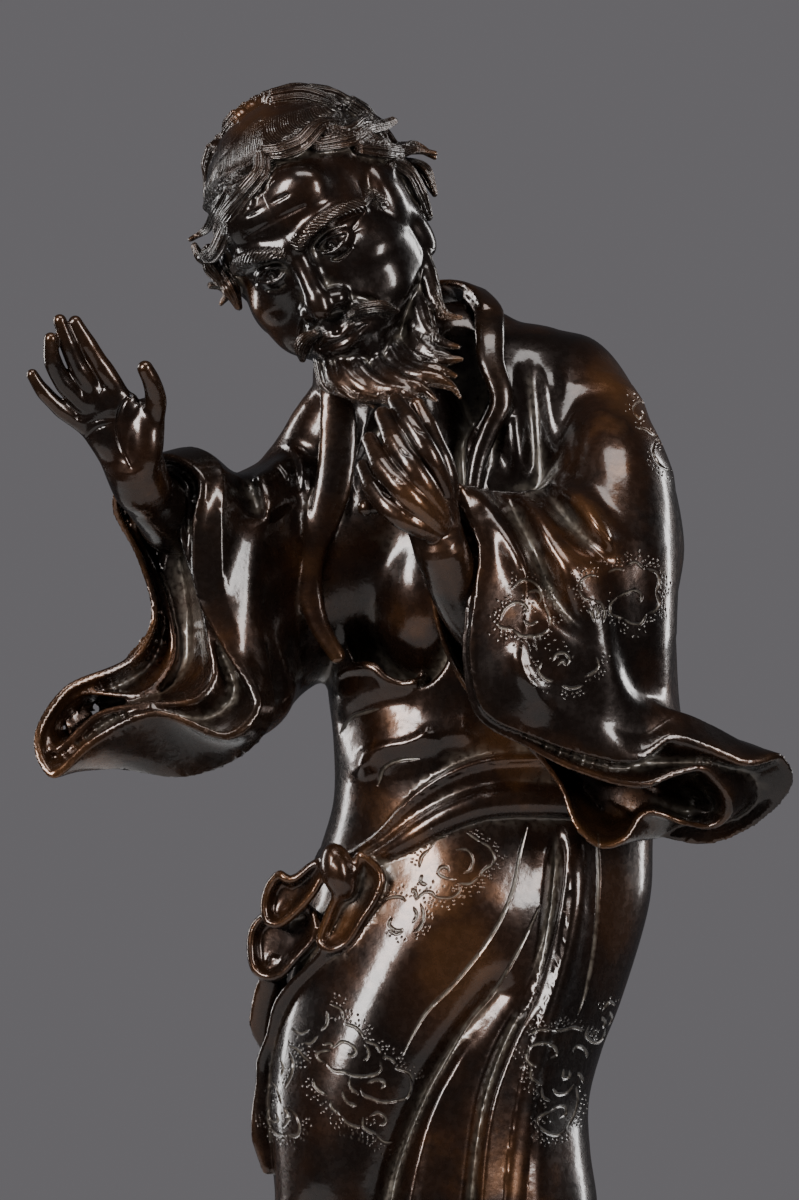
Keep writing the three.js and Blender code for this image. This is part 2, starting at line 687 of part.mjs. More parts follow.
function distanceToLine(points, x, z) {
  let best = { distance: Infinity, left: 0 };
  for (let i = 0; i + 1 < points.length; i++) {
    const [[ax, az], [bx, bz]] = [points[i], points[i + 1]];
    const [dx, dz] = [bx - ax, bz - az];
    const t = THREE.MathUtils.clamp(((x - ax) * dx + (z - az) * dz) / (dx * dx + dz * dz), 0, 1);
    const [px, pz] = [x - ax - t * dx, z - az - t * dz];
    const distance = Math.hypot(px, pz);
    if (distance < best.distance) best = { distance, left: dx * pz - dz * px };
  }
  return best;
}

function foldHeight({ kind, height, reach, fall, points }, x, z) {
  const { distance, left } = distanceToLine(points, x, z);
  if (kind === "ridge") return height * Math.exp(-((distance / reach) ** 2));
  const signed = left > 0 ? distance : -distance;
  const rise = THREE.MathUtils.smoothstep(signed, -reach, reach);
  return height * rise * Math.max(0, 1 - Math.max(0, signed) / fall);
}

function pressFolds(geometry, folds) {
  geometry.computeVertexNormals();
  const { position, normal } = geometry.attributes;
  for (let i = 0; i < position.count; i++) {
    const place = new THREE.Vector3().fromBufferAttribute(position, i);
    const out = new THREE.Vector3().fromBufferAttribute(normal, i);
    let height = 0;
    for (const fold of folds) {
      const facing = THREE.MathUtils.smoothstep(fold.side * out.y, 0.1, 0.6);
      if (facing > 0) height += facing * foldHeight(fold, place.x, place.z);
    }
    out.setZ(0).normalize();
    place.addScaledVector(out, height);
    position.setXYZ(i, place.x, place.y, place.z);
  }
  return geometry;
}

// The robe

function sectionAt(z) {
  const last = BODY_SECTIONS.length - 1;
  const above = Math.min(last, Math.max(1, BODY_SECTIONS.findIndex((row) => row[0] >= z)));
  const [low, high] = [BODY_SECTIONS[above - 1], BODY_SECTIONS[above]];
  const share = (z - low[0]) / (high[0] - low[0]);
  return low.map((value, i) => THREE.MathUtils.lerp(value, high[i], share));
}

// A point on the robe's plain outline at a height and an angle round it, moved outwards
function bodyPoint(angle, z, out = 0) {
  const [, x, y, width, depth, rise] = sectionAt(z);
  const squared = (value) => Math.sign(value) * Math.abs(value) ** (2 / OUTLINE_POWER);
  const across = (width + out) * squared(Math.cos(angle));
  return new THREE.Vector3(x + across, y + (depth + out) * squared(Math.sin(angle)), z + rise * across);
}

function bodySkin() {
  const rings = BODY_SECTIONS.map(([z]) =>
    Array.from({ length: BODY_SIDES }, (_, i) => bodyPoint((2 * Math.PI * i) / BODY_SIDES, z)),
  );
  return solidOf(pressFolds(skin(between(rings, BODY_STEPS)), FOLDS));
}

// Points moved towards the middle line of a long ring, and pushed back into the sleeve
function drawnIn(ring, share, push) {
  const count = ring.length;
  const middles = ring.map((p, i) => p.clone().lerp(ring[(count - i) % count], 0.5));
  const span = 3;
  return ring.map((p, i) => {
    const middle = new THREE.Vector3();
    for (let k = -span; k <= span; k++) middle.add(middles[(i + k + count) % count]);
    middle.divideScalar(2 * span + 1);
    return p.clone().lerp(middle, share).add(new THREE.Vector3(0, push, 0));
  });
}

// Points moved inwards across the rim by a wall's thickness, as seen from the front
function inset(ring, wall) {
  const count = ring.length;
  const area = ring.reduce((sum, p, i) => {
    const q = ring[(i + 1) % count];
    return sum + p.x * q.z - q.x * p.z;
  }, 0);
  return ring.map((p, i) => {
    const along = ring[(i + 1) % count].clone().sub(ring[(i + count - 1) % count]);
    const inward = new THREE.Vector3(-along.z, 0, along.x).normalize();
    return p.clone().addScaledVector(inward, Math.sign(area) * wall);
  });
}

function sleeve(root, hem, rim, innerRim, rootSteps) {
  const ringOf = (r) => (Array.isArray(r) ? loop(r, SLEEVE_SIDES) : oval(r, SLEEVE_SIDES));
  const outer = ringOf(rim);
  const inner = ringOf(innerRim);
  const lip = inset(outer, RIM_WALL);
  const groove = lip.map((p, i) => p.clone().lerp(inner[i], 0.5).add(vector([0, RIM_GROOVE, 0])));
  const innerLip = inset(inner, INNER_WALL);
  const body = between([...root.map(ringOf), ringOf(hem)], rootSteps);
  const mouth = MOUTH_STEPS.map(([share, push]) => drawnIn(innerLip, share, push));
  return skin([...body, outer, lip, groove, inner, innerLip, ...mouth]);
}

// A bowl-shaped leaf of folded ribbon, open towards the front
function leaf(outline) {
  const rim = loop(outline, LEAF_SIDES);
  const middle = rim.reduce((sum, p) => sum.add(p), new THREE.Vector3()).divideScalar(LEAF_SIDES);
  const scaled = (share, push) => rim.map(
    (p) => p.clone().lerp(middle, 1 - share).add(new THREE.Vector3(0, push, 0)),
  );
  const back = [scaled(0.6, LEAF_DEPTH + 3), scaled(0.96, LEAF_DEPTH)];
  return solidOf(skin([...back, rim, scaled(0.7, 0.6), scaled(0.4, LEAF_DEPTH * 0.6)]));
}

function strap({ path, widths }, thick, across = [1, 0, 0]) {
  return tube(path, widths, { depths: [thick, thick], sides: 4, steps: path.length - 1, across });
}

function bow() {
  return [
    ellipsoid(KNOT.centre, KNOT.radii, { turn: KNOT.turn, detail: 1 }),
    leaf(BOW_UPPER_LOOP),
    leaf(BOW_LOWER_LOOP),
    leaf(BOW_RIGHT_LOOP),
    strap(TAIL_LONG, TAIL_HALF),
    strap(TAIL_SHORT, TAIL_HALF),
  ];
}

// A closed band round the waist, its cross-section given as [outwards, up] and scaled by a share at each
// centre
function beltBand(centres, shares, section) {
  const count = centres.length;
  const rows = section.length;
  const positions = [];
  const index = [];
  centres.forEach((p, i) => {
    const ahead = centres[(i + 1) % count].clone().sub(centres[(i + count - 1) % count]);
    const out = new THREE.Vector3(ahead.y, -ahead.x, 0).normalize();
    section.forEach(([across, up], k) => {
      const place = p.clone().addScaledVector(out, across * shares[i]);
      positions.push(place.x, place.y, place.z + up * shares[i]);
      const [a, b] = [i * rows + k, i * rows + ((k + 1) % rows)];
      const [c, d] = [((i + 1) % count) * rows + k, ((i + 1) % count) * rows + ((k + 1) % rows)];
      index.push(a, b, c, b, d, c);
    });
  });
  const geometry = new THREE.BufferGeometry();
  geometry.setAttribute("position", new THREE.Float32BufferAttribute(positions, 3));
  geometry.setIndex(index);
  return solidOf(geometry);
}

// The outline of the robe's opening, cut back from the front
function opening() {
  const shape = new THREE.Shape(OPENING.map(([x, z]) => new THREE.Vector2(x, z)));
  const cut = new THREE.ExtrudeGeometry(shape, { depth: OPENING_REACH, bevelEnabled: false });
  cut.rotateX(Math.PI / 2);
  cut.translate(0, OPENING_BACK, 0);
  return solidOf(cut);
}

function foot({ x, turn }) {
  const lean = radians(turn);
  const toe = [
    x + FOOT.reach * Math.sin(lean),
    FOOT.back - FOOT.reach * Math.cos(lean),
    STAND_Z + FOOT.toe,
  ];
  const heel = [x, FOOT.back, STAND_Z + FOOT.heel];
  return tube([heel, toe], FOOT.widths, { depths: FOOT.depths, sides: 7, steps: 2 });
}

const limb = ({ path, widths }, grow = 0) =>
  tube(path, widths.map((w) => w + grow), { sides: 8, steps: path.length - 1 });

// The sash, at even steps round the waist
function sash() {
  const last = SASH_HEIGHTS[0].map((value, i) => (i === 0 ? value + 360 : value));
  const rows = [...SASH_HEIGHTS, last];
  const keys = rows.map(([angle, z]) => bodyPoint(radians(angle), z));
  const lengths = keys.map((p, i) => (i === 0 ? 0 : p.distanceTo(keys[i - 1])));
  const total = lengths.reduce((sum, length) => sum + length);
  const centres = loop(keys.slice(0, -1).map((p) => p.toArray()), BELT_STEPS);
  const shares = centres.map((_, i) => {
    let left = (total * i) / BELT_STEPS;
    let row = 1;
    while (row < rows.length - 1 && left > lengths[row]) left -= lengths[row++];
    return THREE.MathUtils.lerp(rows[row - 1][2], rows[row][2], Math.min(1, left / lengths[row]));
  });
  return beltBand(centres, shares, SASH_SECTION);
}

function robe() {
  const rightRoot = [RIGHT_ARMHOLE, RIGHT_UPPER_ARM, RIGHT_MID];
  const right = sleeve(rightRoot, RIGHT_HEM, RIGHT_RIM, RIGHT_INNER_RIM, 7);
  const leftRoot = [LEFT_ARMHOLE, LEFT_SHOULDER, LEFT_UPPER_ARM, LEFT_ELBOW, LEFT_MID];
  const left = sleeve(leftRoot, LEFT_HEM, LEFT_RIM, LEFT_INNER_RIM, 12);
  const { path, widths, depths } = LEFT_ARM_BULK;
  return join([
    bodySkin().subtract(opening()),
    ...CHEST.map(({ centre, radii }) => ellipsoid(centre, radii, { detail: 1 })),
    ellipsoid(NAPE.centre, NAPE.radii, { detail: 1 }),
    limb(SHOULDER_RISE),
    solidOf(right),
    solidOf(pressFolds(left, PLEATS)),
    tube(path, widths, { depths, sides: 12, steps: 4 }),
    strap(RIGHT_LAPEL, LAPEL_HALF),
    strap(COLLAR, COLLAR_HALF, [0, 0, 1]),
    strap(LEFT_LAPEL, COLLAR_HALF),
    sash(),
    ...bow(),
    ...FEET.map(foot),
  ])
    .subtract(head(JOINT_GAP))
    .subtract(rightHand(JOINT_GAP))
    .subtract(leftHand(JOINT_GAP));
}

// The head, modelled upright about the middle of its skull and then tilted into place

const HEAD = new THREE.Matrix4()
  .makeTranslation(...HEAD_CENTRE)
  .multiply(new THREE.Matrix4().makeRotationY(radians(HEAD_ROLL)))
  .multiply(new THREE.Matrix4().makeRotationZ(radians(HEAD_YAW)))
  .multiply(new THREE.Matrix4().makeRotationX(radians(HEAD_PITCH)));
const onHead = (points) => points.map((p) => vector(p).applyMatrix4(HEAD).toArray());

const mirrored = (points) => points.map(([x, y, z]) => [-x, y, z]);

function head(grow = 0) {
  const grown = (values) => values.map((value) => value + grow);
  const blob = ({ centre, radii, detail }) =>
    ellipsoid(centre, grown(radii), { matrix: HEAD, detail });
  const strand = ({ path, widths }, sides = 5, steps = path.length - 1) =>
    tube(path, grown(widths), { sides, steps });
  const lock = ({ path, widths }, sides) => strand({ path: onHead(path), widths }, sides);
  const otherSide = ({ path, widths }) => ({ path: mirrored(path), widths });
  const pairs = HEAD_PAIRS.flatMap((ball) => {
    const [x, y, z] = ball.centre;
    return [ball, { ...ball, centre: [-x, y, z] }];
  });
  return join([
    ...SKULL.map(blob),
    ...pairs.map(blob),
    blob({ ...HAIR_CAP, detail: 2 }),
    ...[NOSE, LIPS, BROW, otherSide(BROW), MOUSTACHE, otherSide(MOUSTACHE)].map((l) => lock(l, 4)),
    ...FRINGE.map((l) => lock(l, 4)),
    limb(NECK, grow),
    strand(BEARD_ROOT, 6),
    ...BEARD.map((beardLock) => strand(beardLock, 5, 3)),
  ]);
}

// Hands

function digit({ path, radius }, taper, grow) {
  const radii = taper.map((share) => radius * share + grow);
  return tube(path, radii, { sides: 5, steps: path.length - 1 });
}

function palm({ path, widths, depths }, grow) {
  const grown = (values) => values.map((value) => value + grow);
  return tube(path, grown(widths), { depths: grown(depths), sides: 8, steps: 3 });
}

function rightHand(grow = 0) {
  const mound = THUMB_MOUND.radii.map((radius) => radius + grow);
  return join([
    limb(RIGHT_ARM, grow),
    palm(RIGHT_PALM, grow),
    ellipsoid(THUMB_MOUND.centre, mound, { detail: 1 }),
    ...RIGHT_FINGERS.map((finger) => digit(finger, RIGHT_TAPER, grow)),
  ]);
}

function leftHand(grow = 0) {
  const ball = PIN_BALL + grow;
  return join([
    limb(LEFT_ARM, grow),
    palm(LEFT_PALM, grow),
    ...LEFT_FINGERS.map((finger) => digit(finger, LEFT_TAPER, grow)),
    tube(PIN, [PIN_RADIUS + grow, PIN_RADIUS + grow], { sides: 6, steps: 2 }),
    ellipsoid(PIN[0], [ball, ball, ball], { detail: 1 }),
  ]);
}

function base() {
  const profile = BASE_PROFILE.map(([r, z]) => new THREE.Vector2(r * BASE_RADIUS, z * BASE_HEIGHT));
  const turned = new THREE.LatheGeometry(profile, BASE_SIDES);
  turned.rotateX(Math.PI / 2);
  turned.scale(1, BASE_DEPTH_SHARE, 1);
  return solidOf(turned);
}

const BRONZE = { metalness: 0.85, roughness: 0.32 };
const PIECES = [
  ["robe", robe(), 0x2b1a12],
  ["head", head(), 0x33241b],
  ["right_hand", rightHand(), 0x2e1d15],
  ["left_hand", leftHand().subtract(head(JOINT_GAP)), 0x3a2415],
  ["base", base(), 0x241711],
];

const figure = new THREE.Group();
for (const [name, solid, color] of PIECES) {
  const mesh = new THREE.Mesh(geometryOf(solid), new THREE.MeshStandardMaterial({ color, ...BRONZE }));
  mesh.name = name;
  figure.add(mesh);
}

export default figure;
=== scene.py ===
# The looks of a cast bronze immortal: a bearded figure in wide-sleeved robes on a low oval base.
# Sizes are millimetres in the frame's own axes: +Z up, the figure faces -Y. The finished meshes, patches and
# lights are in metres.
import math

import bpy
import numpy as np
import openvdb
from mathutils import Matrix, Vector, kdtree


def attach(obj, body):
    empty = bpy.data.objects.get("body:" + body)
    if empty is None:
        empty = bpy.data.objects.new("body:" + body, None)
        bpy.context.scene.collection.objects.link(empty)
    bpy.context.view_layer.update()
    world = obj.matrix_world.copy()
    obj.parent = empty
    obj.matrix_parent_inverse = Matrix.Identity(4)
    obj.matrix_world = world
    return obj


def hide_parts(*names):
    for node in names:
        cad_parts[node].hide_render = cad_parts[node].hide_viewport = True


for name in ("Cube", "Light", "Camera"):
    if name in bpy.data.objects:
        bpy.data.objects.remove(bpy.data.objects[name])
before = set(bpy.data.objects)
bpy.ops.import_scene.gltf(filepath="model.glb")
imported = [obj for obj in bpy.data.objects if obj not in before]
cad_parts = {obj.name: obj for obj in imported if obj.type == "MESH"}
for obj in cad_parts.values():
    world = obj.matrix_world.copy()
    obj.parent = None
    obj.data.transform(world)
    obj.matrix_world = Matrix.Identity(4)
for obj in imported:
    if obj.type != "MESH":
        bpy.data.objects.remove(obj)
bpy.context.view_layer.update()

MM = 0.001

# The photograph's frame: its width and height, the column of x = 0, the row of z = 0, its scale, how far
# off the camera stands and how far it sees in metres, and its sensor's height in millimetres. The figure's
# hem lies below the frame, down to the row of the floor.
PICTURE_WIDTH = 799
PICTURE_HEIGHT = 1200
COLUMN_OF_ZERO = 400
ROW_OF_ZERO = 1740
MM_PER_PIXEL = 0.36
CAMERA_DISTANCE = 4.0
CAMERA_REACH = 100
SENSOR_HEIGHT = 36.0

# The base: half width, height, depth for its width, the gap above it, and its turned profile in shares
# of the half width and the height
BASE_RADIUS = 104
BASE_HEIGHT = 20
BASE_DEPTH_SHARE = 0.88
BASE_GAP = 0.4
STAND_Z = BASE_HEIGHT + BASE_GAP
BASE_PROFILE = [
    [0, 0], [1, 0], [1, 0.28], [0.965, 0.36], [0.95, 0.5], [0.955, 0.66], [0.975, 0.76], [0.97, 0.94],
    [0.95, 1], [0, 1]]

# The robe's body as sections: height, middle x and y, half width, half depth, and how it rises sideways;
# then how square its outline is
BODY_SECTIONS = [
    [STAND_Z, 4, 4, 84, 64, 0], [34, 4, 4, 81, 62, 0], [60, 6, 4, 74, 59, 0], [110, 9, 3, 65, 55, 0],
    [160, 12, 2, 60, 52, 0], [194, 13, 1, 58, 50, 0], [212, 11, 1, 57.5, 50, 0], [230, 10, 1, 58, 50, 0],
    [248, 13, 1, 59.5, 49, 0], [266, 18, 2, 61.5, 48, 0], [302, 28, 4, 62, 47, 0], [320, 31, 5, 60, 46, 0],
    [338, 33, 4, 57, 45, 0], [360, 26, 2, 50, 42, 0], [378, 21, 0, 47, 40, 0], [410, 22, -2, 50, 38, 0.05],
    [446, 23, -4, 54, 38, 0.1], [470, 25, -5, 55, 35, 0.2], [488, 26, -4, 46, 29, 0.25],
    [500, 24, -3, 32, 22, 0.25], [507, 22, -2, 16, 12, 0.25]]
OUTLINE_POWER = 2.4

# The wrap's front edge, then long folds of the front and the back: height, reach and [x, z] points
WRAP_FRONT = [
    [58, 336], [57, 310], [50, 281], [38, 250], [32, 234], [28, 214], [27, 195], [24, 140], [18, 80],
    [14, 20]]
FRONT_FOLDS = [
    (-4, 6, [[34, 270], [27, 261], [15, 247], [9, 238], [3, 224], [-3, 208], [-7, 195], [-14, 140],
     [-20, 80], [-26, 20]]),
    (2.5, 6, [[64, 322], [65, 306], [62, 290], [56, 267], [52, 240], [50, 195], [52, 120], [56, 20]]),
    (8, 24, [[22, 304], [2, 282], [-14, 258], [-24, 236], [-26, 200], [-24, 150]]),
    (-3, 8, [[-30, 190], [-36, 130], [-46, 70], [-52, 20]]),
    (3.5, 9, [[-12, 170], [-4, 110], [-2, 60], [-4, 20]]), (-3, 8, [[44, 150], [40, 90], [38, 20]]),
    (2.5, 5, [[-14, 351], [-6, 359], [6, 362], [22, 364]]), (-2, 5, [[-20, 366], [-10, 372], [0, 374]])]
BACK_FOLDS = [
    (3, 10, [[52, 480], [44, 430], [30, 370], [24, 340]]),
    (3, 10, [[0, 474], [4, 430], [14, 370], [16, 340]]),
    (-3, 9, [[26, 320], [20, 260], [14, 190], [8, 100], [6, 20]]),
    (4, 11, [[48, 300], [40, 240], [34, 160], [32, 80], [34, 20]]),
    (4, 11, [[0, 300], [-8, 230], [-16, 150], [-24, 80], [-28, 20]]),
    (-4, 9, [[62, 280], [56, 200], [58, 110], [62, 20]]),
    (-4, 9, [[-24, 240], [-36, 160], [-48, 90], [-54, 20]])]

# Robe folds as pixels of the photograph's frame: the wrap's edge and border, seams, creases and ridges
WRAP_EDGE = [
    (556, 824), (553, 864), (549, 910), (543, 951), (528, 1000), (511, 1025), (494, 1063), (482, 1105),
    (474, 1161), (466, 1230), (456, 1400), (446, 1600), (439, 1700)]
WRAP_BORDER = [
    (578, 839), (577, 880), (573, 926), (562, 975), (545, 1020), (529, 1075), (520, 1130), (512, 1200),
    (506, 1400), (500, 1700)]
THIGH_LINE = [
    (526, 824), (519, 850), (511, 889), (490, 932), (463, 968), (446, 987), (426, 1007), (412, 1030),
    (403, 1049)]
KNEE_CREASE = [
    (538, 904), (518, 945), (491, 990), (471, 1013), (443, 1058), (421, 1100), (398, 1161), (386, 1220),
    (366, 1400), (346, 1600), (330, 1700)]
KNEE_RIDGE = [(478, 1022), (454, 1063), (438, 1091), (426, 1122), (418, 1156), (410, 1200), (396, 1320)]
BAND_LINE = [(595, 830), (597, 870), (594, 930), (585, 985), (577, 1010)]
WAIST_LINES = [
    [(340, 733), (352, 717), (364, 712), (379, 708)],
    [(357, 776), (362, 750), (384, 742), (404, 739), (419, 732), (432, 722)],
    [(378, 784), (384, 767), (399, 759), (419, 757)]]
LAPEL_GROOVE = [(327, 425), (326, 480), (320, 530), (316, 560), (313, 600), (318, 640)]
SHOULDER_RIDGES = [
    [(506, 350), (509, 385), (513, 432), (519, 485)], [(544, 350), (549, 385), (552, 432), (557, 485)]]
SHOULDER_VALLEYS = [
    [(525, 350), (529, 385), (533, 432), (540, 488)], [(493, 360), (494, 395), (496, 440), (501, 488)]]

# Pleats and edges of the sleeves, as pixels of the photograph's frame
PLEAT_RIDGES = [
    [(458, 489), (466, 488), (489, 503), (502, 531), (520, 567), (532, 602)],
    [(511, 490), (519, 491), (535, 511), (548, 544), (565, 574), (580, 606)],
    [(549, 491), (556, 491), (578, 503), (595, 526), (616, 552), (634, 566)]]
PLEAT_VALLEYS = [
    [(500, 496), (506, 506), (522, 536), (537, 569), (553, 602), (573, 628), (590, 650)],
    [(538, 494), (546, 501), (566, 523), (590, 549), (612, 566)]]
SLEEVE_EDGE = [(512, 640), (515, 660), (524, 678), (545, 692)]
ARMPIT_LINES = [
    [(250, 470), (257.3, 484), (261.4, 496.4), (265.5, 512.7), (273.6, 527)],
    [(278, 442), (291.4, 452.7), (298.2, 462.3), (300.9, 477.3), (301.6, 490.9), (297, 500)],
    [(262, 458), (273.6, 462.3), (283.2, 470.5), (288.6, 480), (291.4, 490)]]
ARMPIT_HOLLOW = [(238, 470), (247, 484), (254, 498), (259, 512), (266, 524)]

# The sleeves: ovals (centre, start, front) and rings of points from the armhole to the last ring, then
# the hem and both rims of the mouth
RIGHT_ROOT = [
    ([6, -3, 438], [0, 0, 40], [0, -28, 0]), ([-32, -5, 425], [0, 0, 46], [-3, -38, 0]),
    [[-58, -18, 456], [-52, -45, 452], [-50, -56, 436], [-49, -58, 414], [-45, -55, 394], [-39, -48, 377],
     [-45, -38, 365], [-57, -28, 359], [-67, -20, 362], [-73, -14, 369], [-76, -8, 378], [-76, -4, 389],
     [-74, 0, 400], [-72, 2, 410], [-71, 2, 425], [-70, -2, 441], [-66, -8, 453]]]
RIGHT_HEM = [
    [-74, -45, 465], [-63, -60, 457], [-63, -66, 436], [-62, -66, 414], [-54, -66, 394], [-44, -62, 372],
    [-53, -58, 357], [-76, -52, 347], [-99, -50, 350], [-118, -54, 351], [-127, -50, 363], [-116, -42, 379],
    [-94, -30, 392], [-85, -22, 406], [-89, -20, 426], [-97, -25, 445], [-89, -34, 460]]
RIGHT_RIM = [
    [-81, -58, 462], [-69, -66, 453], [-71, -67, 436], [-70, -66, 414], [-60, -68, 394], [-49, -74, 373],
    [-60, -78, 361], [-86, -74, 369], [-108, -72, 359], [-123, -74, 347], [-130, -68, 360],
    [-120, -60, 379], [-97, -48, 390], [-89, -40, 404], [-94, -38, 425], [-103, -44, 445], [-95, -50, 459]]
RIGHT_INNER_RIM = [
    [-81, -52, 458], [-74, -60, 449], [-76, -61, 435], [-70, -61, 414], [-66, -62, 396], [-65, -66, 382],
    [-72, -69, 374], [-91, -67, 372], [-106, -66, 369], [-122, -68, 356], [-126, -62, 364],
    [-115, -55, 378], [-91, -45, 378], [-82, -36, 391], [-85, -33, 410], [-96, -38, 439], [-89, -45, 454]]
LEFT_ROOT = [
    ([36, -3, 474], [0, 0, -27], [0, -27, 0]), ([60, -2, 480], [-8, 0, -25], [0, -28, 0]),
    ([74, -3, 464], [-17, -2, -9], [0, -31, 0]), ([80, -6, 441], [-22, -3, 9], [2, -34, -4]),
    [[58, -38, 450], [63, -68, 445], [69, -84, 432], [73, -86, 414], [76, -84, 396], [80, -77, 383],
     [84, -68, 378], [89, -58, 374], [92, -46, 374], [95, -36, 374], [98, -26, 375], [99, -16, 376],
     [100, -6, 379], [99, 2, 385], [96, 8, 392], [90, 12, 396], [83, 12, 398], [76, 10, 400], [68, 6, 403],
     [63, 2, 410], [58, -2, 421], [56, -8, 432], [55, -20, 443]]]
LEFT_HEM = [
    [36, -58, 449], [39, -80, 439], [44, -90, 425], [44, -93, 407], [43, -93, 389], [49, -92, 376],
    [59, -89, 371], [73, -86, 366], [86, -79, 363], [99, -70, 370], [111, -62, 366], [122, -56, 360],
    [132, -48, 356], [135, -44, 348], [126, -36, 338], [108, -32, 332], [90, -30, 337], [72, -30, 348],
    [54, -28, 364], [40, -28, 381], [30, -28, 400], [26, -30, 421], [30, -40, 439]]
LEFT_RIM = [
    [18, -78, 451], [25, -84, 441], [30, -87, 429], [28, -89, 407], [27, -89, 389], [32, -89, 372],
    [47, -88, 365], [64, -88, 359], [83, -86, 356], [95, -80, 363], [110, -76, 359], [123, -72, 354],
    [135, -64, 356], [140, -58, 346], [129, -50, 332], [109, -46, 323], [90, -44, 327], [68, -43, 340],
    [47, -43, 359], [30, -43, 378], [18, -45, 400], [12, -50, 421], [12, -62, 441]]
LEFT_INNER_RIM = [
    [19, -74, 447], [22, -79, 438], [27, -82, 428], [25, -84, 407], [24, -84, 389], [29, -84, 370],
    [46, -84, 360], [62, -84, 352], [85, -82, 346], [96, -78, 350], [107, -74, 352], [112, -71, 348],
    [117, -67, 341], [117, -63, 334], [111, -60, 329], [101, -59, 330], [87, -62, 334], [80, -66, 325],
    [71, -68, 322], [62, -66, 329], [56, -62, 344], [46, -60, 357], [26, -58, 374], [14, -56, 396],
    [10, -56, 418], [12, -62, 437]]

# The upper left arm's bulk under its sleeve: path, half widths and half depths
LEFT_ARM_BULK = (
    [[71, -22, 474], [75.5, -38, 450], [77, -46, 421], [78, -48, 396], [82, -44, 370]],
    [17, 22.5, 22.5, 20.5, 15], [18, 27, 33, 30, 20])

# A sleeve's mouth: its wall at the rim, how deep the groove behind the rim is, the inner wall, and how
# far each further ring is drawn in and pushed back
RIM_WALL = 2.6
RIM_GROOVE = 10
INNER_WALL = 2.1
MOUTH_STEPS = [(0.1, 5), (0.25, 14), (0.55, 26)]

# The opening of the robe as [x, z] points, its front and back, and the bare chest in it as blobs: centre,
# radii and blend
OPENING = [
    [-14, 500], [-19, 487], [-14, 473], [-17, 456], [-20, 441], [-26, 428], [-26, 416], [-24, 403],
    [-18, 393], [-15, 387], [-9, 385], [0, 380], [9, 380], [16, 387], [19, 400], [22, 420], [24, 440],
    [24, 468], [29, 476], [32, 486], [30, 498], [26, 508], [10, 514]]
OPENING_FRONT = -120
OPENING_BACK = -14
CHEST = [([9, -10, 442], [20, 27, 52], 3), ([9, -13, 414], [21, 28, 32], 3)]

# The robe's bulk behind the neck as a blob, and the cloth that climbs to it: path, half widths and blend
NAPE = ([22, -2, 504], [20, 15, 14], 5)
SHOULDER_RISE = (
    [[-14, -18, 496], [-17.5, -18, 484], [-24, -16, 470], [-34, -12, 456]], [12.5, 13.5, 16.5, 15], 6)

# The turned-over edge of the wrap under the open chest, as pixels, and its half widths
ROLLED_EDGE = [
    (340, 675), (349, 669), (359, 667), (374, 667.5), (386, 678), (402, 683.5), (418, 680.5), (432, 669.5),
    (441, 659)]
ROLLED_WIDTHS = [1.2, 2, 2.2, 1.8, 1.6, 1.6, 1.6, 1.5, 0.9]

# Lapels and collar, then the sash's tails: path, half widths, half thickness and the way across
LAPELS = [
    ([[-24, -34, 488], [-22, -37, 474], [-23, -38.5, 456], [-26.5, -39.5, 441], [-31.5, -40, 428],
     [-32, -41, 414], [-29, -41, 402], [-22, -42, 390]], [5, 7, 7, 6.5, 5.5, 5, 4, 3], 2.2, (1, 0, 0)),
    ([[-24, -35, 485], [-28, -25, 491], [-27, -11, 498], [-18, 1, 506], [-6, 8, 513], [8, 10, 519],
     [20, 5, 521], [29, -8, 519], [33, -20, 513]], [5, 7, 8, 8, 8, 8, 8, 7.5, 6], 2.6, (0, 0, 1)),
    ([[27, -8, 520], [31.5, -20, 514], [32, -31, 505], [32.5, -37, 495], [35.5, -40, 486], [36, -41, 480],
     [31.8, -42, 471], [28.4, -42.5, 462], [26.4, -43, 452], [24.8, -42.5, 430], [23, -42, 408]],
     [5, 5.5, 5.5, 5, 4.4, 3.8, 3.4, 3, 2.8, 2.6, 2], 2.6, (1, 0, 0))]
TAILS = [
    ([[-25, -36, 285], [-31, -31, 278], [-37, -26, 272], [-42, -22, 265], [-45, -18, 254], [-49, -14, 244],
     [-49, -13, 236], [-49.5, -12, 220], [-47, -12, 206]],
     [3.4, 3.7, 3.7, 3.5, 3.2, 2.6, 3.8, 4.2, 2.6], 2, (1, 0, 0)),
    ([[-43, -20, 281], [-47.5, -15, 267], [-49, -12, 257], [-46, -10, 247]],
     [4, 5.6, 5.2, 2.4], 2, (1, 0, 0))]

# The sash: stations round the waist as [angle, height, size], and its section as [outwards, up], a thick
# roll below a flat band with a raised edge
SASH_STATIONS = [
    [-180, 316, 0.15], [-149, 314, 0.2], [-127, 319, 0.5], [-113, 327, 0.9], [-102, 334, 1], [-91, 339, 1],
    [-75, 340, 1], [-60, 339, 1], [-38, 337, 1], [0, 335, 1], [45, 334, 1], [90, 332, 1], [135, 325, 0.6]]
SASH_PROFILE = [
    [-8, -6], [3, -6.6], [6.2, -5], [7.6, -1.8], [7.2, 1.8], [4.6, 4.4], [2.6, 5.4], [2.4, 8.6], [3, 12],
    [4.4, 13.6], [3.8, 15], [-8, 15]]

